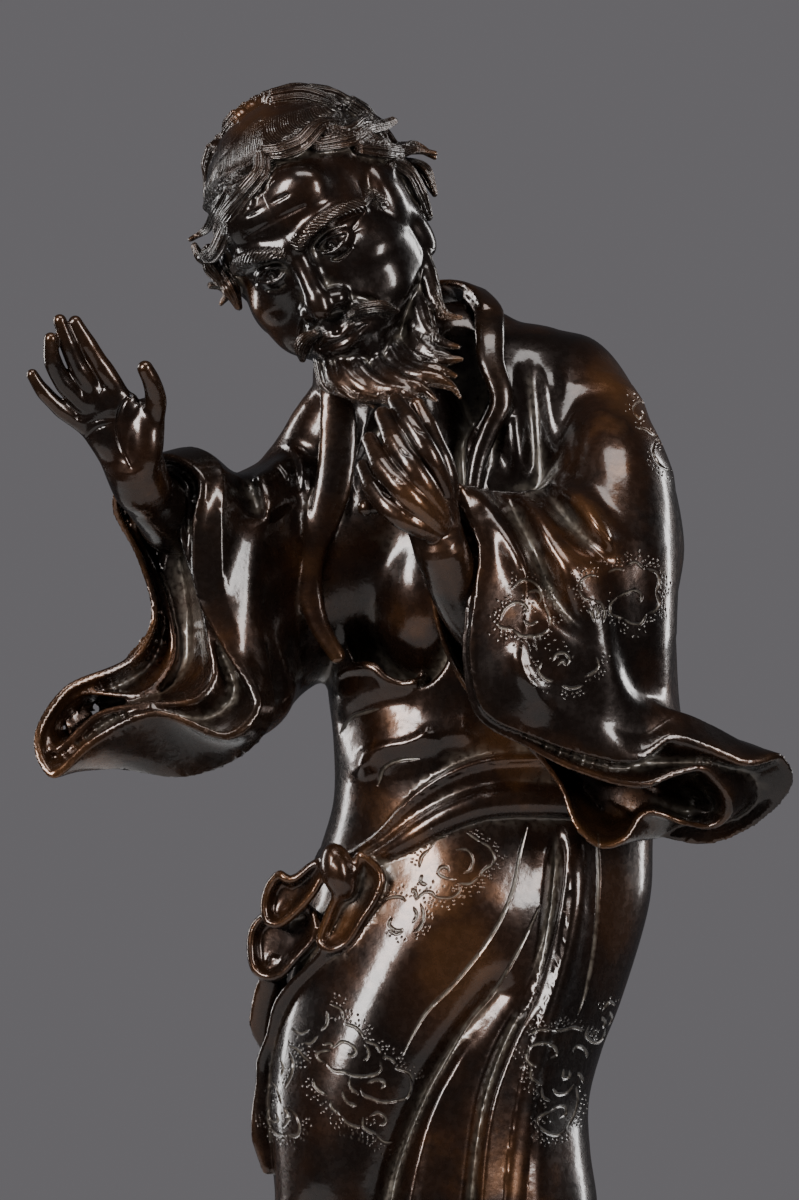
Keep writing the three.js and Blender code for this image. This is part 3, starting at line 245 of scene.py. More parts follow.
# The bow: its loops' outlines, how thick and deep they are, and their rims and hollows as rings of [wall
# or share, push back] in shares of the wall and the depth; its knot's centre, radii, blend and turn, and
# the knot's creases
BOW_LOOPS = [
    [[-50, -22, 298], [-54, -21, 293], [-55, -21, 285], [-53, -22, 277], [-48, -24, 274], [-42, -27, 275],
     [-36, -29, 281], [-29, -31, 290], [-30, -30, 300], [-40, -26, 302]],
    [[-25, -36, 320], [-32, -35, 317], [-39, -33, 312], [-43, -31, 314], [-48, -29, 309], [-50, -28, 300],
     [-48, -29, 294], [-43, -31, 293], [-36, -34, 298], [-28, -37, 308]],
    [[-15, -43, 321], [-9, -44, 318], [-5, -45, 312], [-7, -45, 304], [-12, -44, 296], [-18, -42, 287],
     [-25, -40, 284], [-30, -37, 288], [-28, -38, 296], [-24, -40, 305], [-18, -42, 313]]]
LOOP_WALL = 3.2
LOOP_DEPTH = 9
LOOP_RIM = [(0, 0.34), (0.2, 0), (0.5, -0.16), (0.8, 0)]
LOOP_HOLLOW = [(0.93, 0.36), (0.75, 0.55), (0.4, 0.6)]
KNOT = ([-21.8, -38, 313.5], [6.2, 8, 10.6], 1.5)
KNOT_TURN = 16
KNOT_CREASES = [
    [[-19.4, -45.4, 321], [-20.4, -47.2, 313.5], [-22.6, -45.4, 306]],
    [[-22, -45, 321], [-24, -46.2, 313], [-25.4, -43.8, 306]],
    [[-17.6, -43.4, 320], [-17.4, -45.2, 313.5], [-19.6, -44.4, 306]]]

# The shoes: x and the turn in degrees, where their back is, how far they reach forwards, the heights of
# instep and toe over the base, half widths and half depths
FEET = [(-24, -14), (36, 16)]
FOOT_REACH = 42
FOOT_BACK = -26
INSTEP_HEIGHT = 15
TOE_HEIGHT = 10
FOOT_WIDTHS = [15, 16, 14]
FOOT_DEPTHS = [13, 12, 9]

# The robe's grid: lowest and highest corner, cell size, and how far distances reach, further for the body
ROBE_LOW = [-142, -114, 14]
ROBE_HIGH = [146, 98, 528]
ROBE_VOXEL = 1.0
ROBE_REACH = 8.0
BODY_REACH = 16.0

# Engraved cloud scrolls as strokes in pixels of the photograph's frame: outer rims, and curls inside
CLOUDS = [
    ([[(419, 864), (421.5, 854), (429, 846.5)], [(429, 846.5), (436.5, 836.5), (446.5, 833)],
     [(466.5, 830.5), (475, 836.5), (479, 839)], [(479, 839), (488.5, 845), (493.5, 856.5), (491, 861.5)],
     [(491, 861.5), (482.5, 867.5), (479, 872.5)], [(479, 872.5), (469, 880), (457.5, 880)],
     [(457.5, 880), (459, 886.5), (451.5, 893.5), (439, 894), (429, 890)]],
     [[(455, 846.5), (466.5, 847.5), (472, 857.5), (469, 866.5), (462.5, 869)],
     [(455, 876), (445, 874.5), (437.5, 870), (440, 864.5), (446.5, 864), (448.5, 868.5)],
     [(421.5, 871.5), (420.5, 879), (426.5, 881.5)]]),
    ([[(381.5, 898.5), (391.5, 894), (401.5, 894), (405.5, 897.5)],
     [(411.5, 885), (415.5, 889), (416, 896)], [(416, 896), (424, 889), (431.5, 889), (435, 892.5)],
     [(420.5, 900), (423, 908.5), (423, 916), (418, 925), (413, 927.5)],
     [(388, 925), (395.5, 930), (403, 927.5)]], [[(391.5, 913.5), (389, 921), (395.5, 926), (403, 925.5)],
     [(413.5, 903.5), (416.5, 911), (413, 918.5)]]),
    ([[(331, 1000), (342, 1005.5), (345, 1014)], [(345, 1018.5), (356.5, 1022.5), (364.5, 1032.5)],
     [(364.5, 1035), (376, 1039.5), (381.5, 1048)], [(383, 1050.5), (391.5, 1053.5), (395.5, 1057.5)],
     [(395.5, 1062), (409.5, 1067.5), (413, 1076)],
     [(314, 1073), (315.5, 1080), (324, 1087), (328, 1088.5)], [(331, 1094), (332.5, 1101), (341, 1108)],
     [(342, 1109.5), (348, 1116.5), (359, 1120.5), (360.5, 1119.5)],
     [(363.5, 1111), (363.5, 1119.5), (370.5, 1125), (376, 1126.5)],
     [(376, 1127.5), (384.5, 1135), (392.5, 1136)]],
     [[(328, 1058), (320.5, 1055), (317.5, 1049), (324, 1046), (332.5, 1045)],
     [(324, 1040), (331, 1038.5), (334.5, 1042)],
     [(335, 1042), (342, 1036.5), (350.5, 1038.5), (356.5, 1045), (352.5, 1050), (348.5, 1048.5)],
     [(364.5, 1038), (369, 1045), (367.5, 1052), (363.5, 1054)], [(328, 1059), (334, 1064.5), (345, 1066),
     (353.5, 1069.5), (367.5, 1070), (377.5, 1067.5), (381.5, 1062), (380, 1055)],
     [(350.5, 1071), (350, 1077), (353.5, 1084), (359.5, 1087.5)],
     [(367.5, 1077), (374.5, 1074.5), (383, 1075), (385, 1078.5), (381, 1082.5)], [(361, 1082.5),
     (364, 1088.5), (373, 1092.5), (383, 1095.5), (395.5, 1094.5), (407, 1091.5), (411, 1083),
     (409.5, 1073)], [(343, 1085), (345.5, 1092.5), (350.5, 1097.5), (357, 1099)],
     [(370.5, 1109.5), (378.5, 1106.5), (385.5, 1111), (385.5, 1116.5), (380, 1118)],
     [(328, 1007), (328, 1018.5), (322.5, 1026)], [(303.5, 1038.5), (311.5, 1038.5), (318.5, 1031)],
     [(293, 1025.5), (301.5, 1029.5), (310, 1025.5)]]),
    ([[(289, 1042), (297.5, 1045), (304.5, 1052), (311.5, 1057.5)],
     [(290.5, 1049), (294, 1060.5), (291.5, 1071.5), (286, 1083)],
     [(266.5, 1111), (269.5, 1123.5), (277.5, 1130.5), (286, 1130)],
     [(286, 1130), (297.5, 1130.5), (300.5, 1122), (297.5, 1111), (288, 1102.5)],
     [(272, 1078.5), (277.5, 1085.5), (282.5, 1099.5)]], [[(280.5, 1055.5), (284, 1063), (282, 1072)],
     [(271.5, 1103.5), (268, 1111), (272, 1118), (278.5, 1116.5), (276.5, 1109.5)],
     [(285, 1103), (289.5, 1113.5), (284, 1122.5)]]),
    ([[(527.5, 1029.5), (538.5, 1024.5), (550, 1025.5)],
     [(550, 1025.5), (561, 1026), (572.5, 1024), (582, 1027.5)],
     [(527.5, 1042), (524.5, 1052), (530, 1059), (534.5, 1060.5)],
     [(529.5, 1062), (529.5, 1071.5), (540, 1080)], [(540, 1083), (541.5, 1091.5), (548.5, 1096)],
     [(564, 1126.5), (555.5, 1130.5), (544.5, 1126.5), (537, 1120)],
     [(537, 1119.5), (536.5, 1113.5), (541.5, 1109.5), (548.5, 1107.5)],
     [(575, 1084), (577, 1097), (573.5, 1111), (566, 1123.5)],
     [(602, 1007.5), (609, 1000), (614.5, 1004.5)],
     [(587, 1024), (585, 1032.5), (595, 1041), (602, 1037.5), (604.5, 1027.5)]],
     [[(527.5, 1041), (541.5, 1038), (552.5, 1042), (555, 1050.5), (549, 1053.5)],
     [(571, 1046.5), (577, 1043), (583.5, 1046.5), (586.5, 1055)],
     [(562, 1065.5), (562.5, 1074), (568.5, 1073), (568, 1067.5)],
     [(551.5, 1084), (557, 1090), (566.5, 1088.5), (572.5, 1081.5)],
     [(576.5, 1070), (580.5, 1074.5), (582, 1080)],
     [(548.5, 1106.5), (557, 1102), (564, 1103), (564.5, 1110.5), (559.5, 1113)],
     [(609, 1010), (611.5, 1018.5), (607.5, 1024.5)], [(600.5, 1015), (604.5, 1020.5), (602, 1026)]]),
    ([[(498, 619), (502, 609), (512, 602.5), (521, 604), (524.5, 610), (519.5, 612.5)],
     [(496, 620), (496, 625), (502, 628), (509.5, 628)],
     [(509.5, 628.5), (517, 634.5), (530, 635.5), (540, 633), (547, 625.5)],
     [(547, 625.5), (545, 612.5), (541, 603)],
     [(509.5, 588.5), (519.5, 581), (530, 582), (537.5, 590), (541, 602.5)]],
     [[(524.5, 592.5), (535, 591), (538.5, 597.5), (536, 602.5)], [(521, 620), (527, 624), (535, 620.5)]]),
    ([[(603.5, 573), (611, 570), (619, 570.5)], [(622.5, 565.5), (631.5, 563), (639, 569.5)],
     [(640.5, 569.5), (652, 573), (654.5, 582), (651, 592.5)],
     [(651, 592.5), (654.5, 602.5), (650.5, 610.5), (642, 613.5)],
     [(641.5, 614), (636.5, 623), (626.5, 623), (619, 618.5)],
     [(619, 618), (607.5, 614), (605.5, 606.5), (612.5, 597)],
     [(578, 590), (577, 582), (586, 576), (593.5, 577)], [(574.5, 591), (580.5, 598.5), (588.5, 600)],
     [(589.5, 600.5), (597, 604), (600.5, 611.5), (598.5, 621)]],
     [[(612.5, 597), (621.5, 593.5), (630.5, 590.5), (636.5, 595), (636, 600.5), (632.5, 599)],
     [(583, 610), (587.5, 613), (590, 620.5)], [(589.5, 605.5), (594, 612), (592.5, 618.5)]]),
    ([[(550, 659.5), (552.5, 653.5), (560.5, 652), (565.5, 657), (564, 663.5)],
     [(538.5, 661), (535.5, 668.5), (542.5, 677.5), (550, 679.5)], [(559, 684), (568, 686.5), (578.5, 684)],
     [(580.5, 675), (589.5, 671), (594.5, 663.5), (592, 656)]],
     [[(554.5, 663.5), (559, 659.5), (562.5, 663.5)]]),
    ([[(647, 404.5), (638.5, 402.5), (632, 408), (631, 414.5)],
     [(633, 429.5), (643, 431.5), (651.5, 437), (660, 435)],
     [(652.5, 441.5), (649.5, 451.5), (652.5, 462), (660, 469.5), (671, 472)]],
     [[(631, 414.5), (637.5, 420.5), (642, 417.5), (639.5, 412)],
     [(662.5, 450), (660, 443), (652.5, 441.5)]])]

# Engraving: half width and depth of a stroke, the punched dots' radius, depth and spacing, how far the
# first row of dots lies from its stroke, and how many of each row's dots are there
STROKE_WIDTH = 0.48
STROKE_DEPTH = 0.5
DOT_RADIUS = 0.34
DOT_DEPTH = 0.32
DOT_SPACING = 1.35
DOT_START = 1.4
DOT_ROWS = [0.9, 0.7, 0.4]
SEAM_WIDTH = 0.75
SEAM_DEPTH = 0.8
SEAMS = [THIGH_LINE, BAND_LINE, WAIST_LINES[0], WAIST_LINES[2], KNEE_CREASE[:8]]

# The head in its own upright axes about the middle of the skull: its place and turns, and its grid.
# The crown is at 36, the eye line halfway to the chin at -61, and brow, nose and chin lie on thirds.
HEAD_CENTRE = [-35.5, -32, 553]
HEAD_ROLL = -27
HEAD_YAW = -18
HEAD_PITCH = 13
HEAD_LOW = [-58, -66, -104]
HEAD_HIGH = [58, 54, 46]
HEAD_VOXEL = 0.5
HEAD_REACH = 6.0

# Blobs of the skull and the face: centre, radii and blend
SKULL = [
    ([0, -1, -3], [31.5, 37.5, 32], 0.1), ([0, -7, -24], [29.5, 30, 28], 8),
    ([0, -17, -42], [20.5, 22.5, 18.5], 8), ([0, -30, -42], [13, 10, 10], 6),
    ([0, -31, -54], [9, 7, 6.5], 5)]
FACE_PAIRS = [
    ([19, -21, -24], [9, 8.5, 7], 6), ([23.5, -7, -30], [8.5, 16, 17], 7), ([17, -22, -37], [9, 8, 9], 6),
    ([10, -29.6, 9], [10, 6, 8], 8)]
FACE_HOLLOWS = [([12.6, -39, -12.5], [8.8, 6, 5.6], 4), ([33, -18, 0], [4, 10, 9], 6)]
NOSE_PAIRS = [([5.8, -38.8, -29.8], [4, 4.8, 3.6], 2.8)]
NOSTRIL = ([3.4, -42.6, -33.6], [1.7, 2.4, 1.5], 0.6)
EAR_BLOBS = [([31.4, 3, -16], [4.4, 8, 12.5], 2.5), ([33, -1.4, -30], [3.8, 5.6, 9], 3.5)]
EAR_BOWL = ([36.9, 2.6, -14.6], [3, 4.2, 6.6], 1.5)

# The eyes: centre and radius of the ball, the lid's thickness, the opening's half sizes, the iris and the
# pupil
EYE_CENTRE = [12.6, -27.6, -12.5]
EYE_RADIUS = 6.9
LID_THICKNESS = 0.8
EYE_HALF_WIDTH = 6.3
EYE_UPPER = 2.9
EYE_LOWER = 2.3
IRIS_RADIUS = 2.3
PUPIL_RADIUS = 0.9

# Ropes and grooves of the face: path, half widths and blend. A pair has its second one at -x.
LID_ROPES = [
    ([[6.2, -33.6, -12.6], [9, -34.6, -10.4], [12.8, -34.9, -9.4], [16.4, -33.4, -10.2],
     [19.2, -30.8, -12.2]], [0.4, 0.7, 0.8, 0.7, 0.4], 0.6),
    ([[6.4, -33.4, -13.2], [9.4, -34.3, -14.6], [12.8, -34.4, -15.1], [16.2, -33.1, -14.6],
     [19, -30.9, -12.8]], [0.35, 0.5, 0.55, 0.5, 0.35], 0.6)]
LID_FOLDS = [
    ([[5.8, -34.2, -10.4], [12.4, -34.9, -6.9], [19.4, -31.2, -9.4]], [0.3, 0.5, 0.3], 1),
    ([[7.2, -33.2, -16.6], [12.4, -33.8, -18.4], [17.4, -31.2, -17.4]], [0.2, 0.5, 0.2], 1.4)]
FACE_ROPES = [
    ([[0, -36, -6], [0, -38.6, -15], [0, -42.2, -25]], [2, 2.8, 4], 5),
    ([[0, -43, -28.2], [0, -43.8, -29.4]], [4.5, 4.2], 3),
    ([[-9.8, -36.6, -42.6], [-5, -40.2, -41], [0, -41.2, -41.6], [5, -40.2, -41], [9.8, -36.6, -42.6]],
     [0.7, 1.8, 1.7, 1.8, 0.7], 1.2),
    ([[-9, -36.8, -43.6], [-4, -40, -45.2], [0, -40.8, -45.6], [4, -40, -45.2], [9, -36.8, -43.6]],
     [0.7, 2, 2.2, 2, 0.7], 1.2)]
FACE_ROPE_PAIRS = [
    ([[3, -37.5, -6], [11, -37, -3.4], [20, -31.5, -3.4], [26.5, -23, -7.5]], [2.2, 2.8, 2.6, 1.4], 4)]
FACE_CUTS = [
    ([[-9.8, -38, -43], [-5, -42.2, -43.2], [0, -43.2, -43.6], [5, -42.2, -43.2], [9.8, -38, -43]],
     [0.3, 0.7, 0.7, 0.7, 0.3], 0.7),
    ([[0, -42.6, -35.4], [0, -42.4, -39.4]], [0.9, 1.2], 1.5),
    ([[-13, -36.4, 4.5], [-5, -38.2, 5.3], [4, -38.3, 5.3], [12, -36.6, 4.6]], [0.2, 0.45, 0.45, 0.2], 1.2),
    ([[-10, -35.4, 10.5], [-3, -36.8, 11.2], [6, -36.4, 11.1], [11, -35, 10.6]], [0.2, 0.4, 0.4, 0.2], 1.2)]
FACE_CUT_PAIRS = [
    ([[8.6, -38.2, -26.4], [10.9, -36.6, -29.6], [9.6, -36.8, -33.4]], [0.3, 0.5, 0.3], 1),
    ([[10.6, -37.2, -32], [14, -34.2, -37], [15.4, -31.6, -43]], [0.3, 0.8, 0.4], 2.5),
    ([[20.6, -29.2, -12], [24.5, -25.6, -10.4], [27, -22, -9.2]], [0.4, 0.35, 0.15], 0.8),
    ([[20.6, -29.2, -13.4], [24.8, -25.8, -14], [27.4, -22, -14.2]], [0.4, 0.35, 0.15], 0.8)]
EAR_RIM = [[31, -3.5, -13], [34, -2, -5.6], [36, 3, -3.4], [37, 8.6, -7], [36.6, 8.8, -15], [34.8, 3, -26]]
EAR_RIM_RADII = [1.3, 1.7, 1.8, 1.8, 1.6, 1.4]

# The brows: middle line, half widths, the heights of their two ropes, the hair lines' number and slant,
# and about how long a brow is
BROW_LINE = [
    [3.6, -40, -6.4], [8, -39, -4], [15, -36, -2.4], [22, -31, -3.4], [28, -24, -7], [30.4, -18, -9]]
BROW_RADII = [0.8, 1.5, 1.6, 1.3, 0.7, 0.3]
BROW_LEVELS = [-0.9, 0.8]
BROW_LINES = 20
BROW_SLANT = 0.7
BROW_LENGTH = 27

# The hair cap and the hair before the ears, the point that locks stand out from, and fine lines for each
# millimetre of a lock's half width
CAP_MIDDLE = [0, 7, 2]
CAP_RADII = [34, 38, 34]
SIDE_HAIR = ([31, -4, -12], [5.4, 10, 13], 3)
LOCK_MIDDLE = [0, 0, -16]
LINES_PER_MM = 1.05

# Locks of the crown, the sides and the back in rows: top, drop and number; where in degrees the rows
# start and how far round they go, and the locks' half widths
CAP_ROWS = [(35, 13, 5), (29, 16, 9), (19, 18, 12), (6, 20, 12), (-7, 24, 12)]
CAP_START = 12
CAP_SPAN = 166
CAP_WIDTHS = [4.2, 4.6, 4.0, 1.2]

# Combed hair as pixels of the photograph's frame: strands combed from a first guide to a last, their
# number and half thickness, and the number of fine lines
COMBED_GROUPS = [
    ([(260.5, 126.5), (263.5, 145), (265, 156), (262.5, 165.5), (249.5, 175.5), (232, 184), (217, 195),
     (207, 210)], [(216, 175.5), (212.5, 188.5), (209.5, 201.5), (205.5, 210)], 7, 2.6, 30),
    ([(261.5, 129), (262.5, 143), (269, 151.5), (284, 155), (299.5, 151.5), (312.5, 138.5), (327.5, 126.5),
     (341.5, 125.5)], [(329.5, 111.5), (334, 116), (338.5, 120), (342.5, 123.5)], 6, 2.6, 30)]

# Loose locks as pixels of the photograph's frame, with their half widths and how far they lift off the
# cap
EXTRA_LOCKS = [
    ([(321, 138.5), (345, 143), (360, 132), (371, 124.5), (383, 131)], [3, 4, 3.4, 2.6, 1.1], 1.5),
    ([(360, 143), (375, 153.5), (388, 159), (410, 150.5), (430.5, 161.5)], [3, 4, 3.4, 2.6, 1.1], 1.5),
    ([(397, 166.5), (418.5, 173.5), (431.5, 197)], [2.6, 3.6, 1.3], 1),
    ([(232, 197), (223.5, 212.5), (214.5, 227.5), (204, 236), (194, 241.5)], [1.6, 2.4, 2.4, 1.8, 0.8], 1),
    ([(197.5, 247), (204, 258), (214.5, 264.5), (224.5, 275)], [1.4, 2.2, 2, 0.8], 0.5),
    ([(212.5, 286), (223.5, 286), (231, 293.5), (223.5, 305.5)], [1.4, 2, 1.8, 0.8], 0.5)]

# Locks of the fringe in the head's own axes, then the moustache: path and half widths
FRINGE = [
    ([[4, -22.5, 26.5], [2, -29, 21], [-5, -31.5, 18], [-13, -30.5, 15], [-25, -24, 10]],
     [2.4, 3.6, 3.8, 3.4, 1]),
    ([[-15, -30, 13], [-23, -27, 6], [-32, -20.5, 1.5], [-39, -14, 1.5]], [2.4, 3.4, 3, 0.8]),
    ([[-34, -15, 2.5], [-36, -15, -3.5], [-35, -17.5, -9.5]], [3, 4, 2]),
    ([[-35, -12.5, -7.5], [-33.5, -17, -13.5], [-34.5, -18, -20.5]], [3.4, 4, 1.6]),
    ([[4, -22.5, 26.5], [10.5, -23.5, 23.5], [17, -21.5, 22], [24, -12.5, 23], [29.5, -3, 18.5]],
     [2.4, 3.6, 3.4, 3, 1.6]),
    ([[21.5, -19, 18.5], [30, -10, 13.5], [34, 2, 11.5], [37, 11.5, 8], [39.5, 18, 6.5]],
     [2.6, 3.4, 3.2, 2.6, 1.6]),
    ([[31.5, -10, 9], [35.5, 0.5, 2], [38, 11, -3.5], [41.5, 15, -6], [47, 17, -11]], [2.6, 3.4, 3, 2, 1]),
    ([[35, 3.5, -3.5], [37, 7, -10.5], [36.5, 7, -20], [36, 6, -28]], [3.4, 4, 4, 2])]
MOUSTACHE = [[6.4, -41.4, -36.8], [11, -39.6, -37], [16.6, -35.4, -40.4], [20, -31, -45.6]]
MOUSTACHE_WIDTHS = [1.4, 2.6, 2.4, 0.9]

# The beard where it hangs in the frame: its root and its locks as path and half widths, then the strands
# and fine lines from one lock to the next, and the strands' half thickness
BEARD_ROOT = ([[2, -34, 522], [-1, -38, 506], [-10, -46, 500], [-20, -44, 500]], [5, 7, 7, 5])
BEARD = [
    ([[8, -35, 541], [7.5, -39, 533], [9.8, -43, 525], [12.9, -47, 515.6], [16.8, -49, 511.7],
     [22, -49, 511]], [2.5, 4, 4.6, 4, 2.5, 0.8]),
    ([[6, -37, 531], [5.1, -42, 522.7], [6.7, -46, 513.3], [9.8, -50, 505.5], [14.5, -52, 502],
     [21, -52, 500.5]], [3, 4.2, 4.6, 4.2, 3, 0.8]),
    ([[4, -39, 520], [4.2, -44, 513], [6.5, -49, 504], [11, -54, 499.5], [17, -56, 498]],
     [3, 4.3, 4.4, 3.5, 0.8]),
    ([[1, -41, 510], [3.6, -46, 503.9], [8.2, -52, 498.5], [14.5, -56, 496], [22, -58, 496]],
     [3, 4.4, 4.6, 3.4, 0.8]),
    ([[-2, -46, 503], [1, -51, 497], [6, -57, 492.5], [13, -60, 492], [20, -61, 490]],
     [3, 4.4, 4.4, 3.4, 0.8]),
    ([[-5, -49, 502], [-1.1, -54, 494], [5.1, -60, 490], [12.9, -63, 489], [18.4, -64, 486],
     [21.4, -64, 482]], [3, 4.6, 4.8, 4, 2.5, 0.8]),
    ([[-10, -52, 498.5], [-6, -57, 491], [0, -62, 487], [7, -65, 485.5], [13, -66, 481]],
     [3, 4.6, 4.8, 3.6, 0.8]),
    ([[-16.7, -54, 497], [-12, -59, 489], [-5.8, -63, 485], [2, -66, 484], [6.7, -67, 480],
     [8, -67, 476.5]], [3, 4.6, 4.8, 4, 2.6, 0.8]),
    ([[-21, -53, 496.5], [-17.5, -58, 489], [-11.5, -62, 484.5], [-5, -64, 482.5], [-1, -65, 478]],
     [3, 4.4, 4.6, 3.4, 0.8]),
    ([[-25.3, -49, 496.5], [-23, -54, 490], [-17.5, -59, 485], [-12, -61, 482], [-9.2, -61, 479]],
     [2.6, 4, 4.4, 3.4, 0.9]),
    ([[-29, -45, 495], [-25.5, -49, 487.5], [-20, -53, 485], [-16, -55, 481]], [2.4, 3.6, 3.4, 0.9])]
BEARD_STRANDS = 4
BEARD_LINES = 4
BEARD_STRAND_RADIUS = 0.8

# The neck in the frame: path and half widths
NECK = ([[-20, -24, 512], [-8, -18, 496], [3, -10, 480], [10, -4, 464]], [18, 17, 18, 19])

# The hands' grids: lowest and highest corner, cell size, and how far distances reach
RIGHT_HAND_GRID = ([-142, -106, 420], [-46, 6, 522])
LEFT_HAND_GRID = ([-20, -116, 380], [62, -32, 490])
HAND_VOXEL = 0.5
HAND_REACH = 5.0

# The open hand: forearm, palm as path, half widths and half depths, fingers with the thumb last as path
# and half thickness, mounds as centre, radii, blend and turn, and its lines as pixels
RIGHT_ARM = (
    [[-62, -17, 441.5], [-79.4, -40, 438.2], [-84, -54, 442.5], [-88.5, -64, 447.2], [-91.4, -72, 451.9],
     [-93, -77, 456.6]],
    [9.6, 12.4, 12.3, 11.2, 9.8, 9.6])
RIGHT_PALM = (
    [[-91.4, -72, 450.6], [-96.8, -79, 464.3], [-103.6, -84, 477.3]], [9.4, 10.8, 12.2], [8, 6, 4.6])
RIGHT_FINGERS = [
    ([[-96, -78, 474.8], [-100.5, -87, 485.8], [-106.1, -90, 494.4], [-110.7, -93, 502.1],
     [-114.2, -94, 508.1]], 3.1),
    ([[-102.1, -78, 476.5], [-109.6, -88, 486.7], [-114.2, -92, 494.4], [-117.2, -95, 502.1],
     [-119.5, -97, 508.5]], 3.1),
    ([[-105.5, -78, 474.8], [-115.2, -88, 483.2], [-119.8, -92, 489.2], [-122.3, -95, 495.2],
     [-122.7, -98, 502]], 3.2),
    ([[-106.5, -76, 469.6], [-116.6, -84, 475.5], [-121.7, -87, 479.8], [-126.4, -89, 484.9],
     [-129.4, -90, 489.7]], 2.7),
    ([[-90.9, -74, 460.9], [-87.2, -84, 472.9], [-86.1, -88, 481.5], [-87.5, -92, 487.5],
     [-89.6, -94, 491.8]], 3.7)]
RIGHT_TAPER = [1.3, 1.1, 1.0, 0.76]
RIGHT_MOUNDS = [
    ([-89.8, -83.5, 467.7], [6.6, 5.6, 14], 1.8, 0),
    ([-102.2, -81.5, 470.5], [7.6, 4.6, 12], 2.5, 28), ([-105.3, -86, 481.5], [9, 3.6, 5], 2.5, 0)]
PALM_LINES = [
    [(94.9, 427.5), (107.1, 423.3), (121.1, 422.5)], [(92.4, 441.4), (103.5, 432.4), (118.2, 427.5)],
    [(105.2, 400.5), (108.9, 394.3), (113.8, 389.4)], [(81.4, 418.1), (84.3, 422.1), (88.7, 424)]]
THENAR_LINE = [(142, 396), (132.4, 404.1), (125.5, 417.6), (124.1, 437.3), (128.5, 454.5), (136.6, 470.4)]

# The half closed hand in the same way, with its pin and the pin's ball, and its knuckle lines as pixels
LEFT_ARM = ([[44, -44, 394], [30, -62, 402], [20, -76, 415], [15, -88, 428]], [12, 12, 10, 9])
LEFT_PALM = (
    [[14, -84, 428], [11, -88, 440], [6, -88, 452], [2, -86, 464]], [9, 10, 9.5, 6.5], [7, 8, 7, 4.5])
LEFT_FINGERS = [
    ([[-12.5, -88, 457], [-9, -95, 449.7], [-3, -101, 442], [5, -101, 437], [13.5, -93, 433]], 4),
    ([[-10.5, -90, 466.5], [-5.5, -99, 456.5], [1.5, -104, 448.5], [9, -101, 441], [15.5, -91, 434]], 4.1),
    ([[-6, -88, 475.5], [-1, -98, 464.5], [5.5, -103, 455], [12, -99, 445], [16.5, -90, 435]], 4.1),
    ([[-1.5, -85, 480.5], [4, -94, 471.5], [9.5, -98, 462.5], [13.8, -95, 453.5], [17, -88, 444]], 3.9),
    ([[6, -80, 479], [12, -85, 466], [16.5, -86, 455], [18, -84, 446]], 3.8)]
LEFT_TAPER = [0.78, 1, 1.04, 1, 0.9]
PIN = [[-12, -80, 443], [19, -82, 443]]
PIN_RADIUS = 2.2
PIN_BALL = 3.1
KNUCKLE_LINES = [
    [(400, 452), (405, 457), (410, 459)], [(392, 479), (397, 484), (402, 486)],
    [(383, 495), (388, 499), (392, 501)], [(402, 514), (407, 518), (411, 519)],
    [(414, 431), (419, 435), (424, 437)]]

# How many triangles each piece is reduced to before its engraving
ROBE_TARGET = 110000
HEAD_TARGET = 185000
HAND_TARGET = 60000

# Edges near a stroke are split down to the first length, and edges longer than the second are searched for
# strokes at more places. Then how near a stroke has to be, of 1, and how close to the surface met first from
# the front a point has to lie to be engraved.
FINEST_EDGE = 0.3
LONG_EDGE = 1.6
STROKE_NEAR = 0.55
SHOWN_DEPTH = 3.0

# Hollows and edges are told apart by the solid share of a neighbourhood: the cell stride, two reaches in
# millimetres, and for each reach the shares under which an edge and over which a hollow begins
CROWD_STRIDE = 2
CROWD_FINE = 2.5
CROWD_WIDE = 7.0
EDGE_FINE = 0.33
EDGE_WIDE = 0.42
HOLLOW_FINE = 0.56
HOLLOW_WIDE = 0.6

# How fast wear and grime grow past those shares, and the most wear that the wide reach adds
FINE_GAIN = 5
WIDE_WEAR_GAIN = 1.6
WIDE_WEAR_MOST = 0.45
WIDE_GRIME_GAIN = 2.5

# Hair lines fade out between these two distances from the locks
HAIR_NEAR = 1.3
HAIR_FAR = 2.6

# Painted warm sheen, golden brown on broad convex places that the lamps light: places and radii in metres,
# and strengths
PAINTED_SHEEN_PATCHES = [
    ((0.082, -0.030, 0.480), (0.020, 0.040, 0.034), 0.9),
    ((0.020, -0.050, 0.285), (0.026, 0.040, 0.036), 0.75),
    ((0.078, -0.030, 0.300), (0.016, 0.040, 0.034), 0.6),
    ((-0.006, -0.045, 0.368), (0.022, 0.030, 0.016), 0.6),
    ((-0.055, -0.040, 0.585), (0.022, 0.050, 0.016), 0.7),
    ((0.060, -0.080, 0.425), (0.016, 0.030, 0.016), 0.45)]

# Noise over the bronze: its scale per metre, detail and roughness
CLOUD_NOISE = (16.0, 5.0, 0.6)
PATCH_NOISE = (55.0, 4.0, 0.6)
GRAIN_NOISE = (420.0, 3.0, 0.6)
SPECK_NOISE = (1400.0, 2.0, 0.5)
WAVE_NOISE = (90.0, 3.0, 0.5)
BUMP_DEPTH = 0.0004
BUMP_STRENGTH = 0.5
HAIR_STRENGTH = 0.75

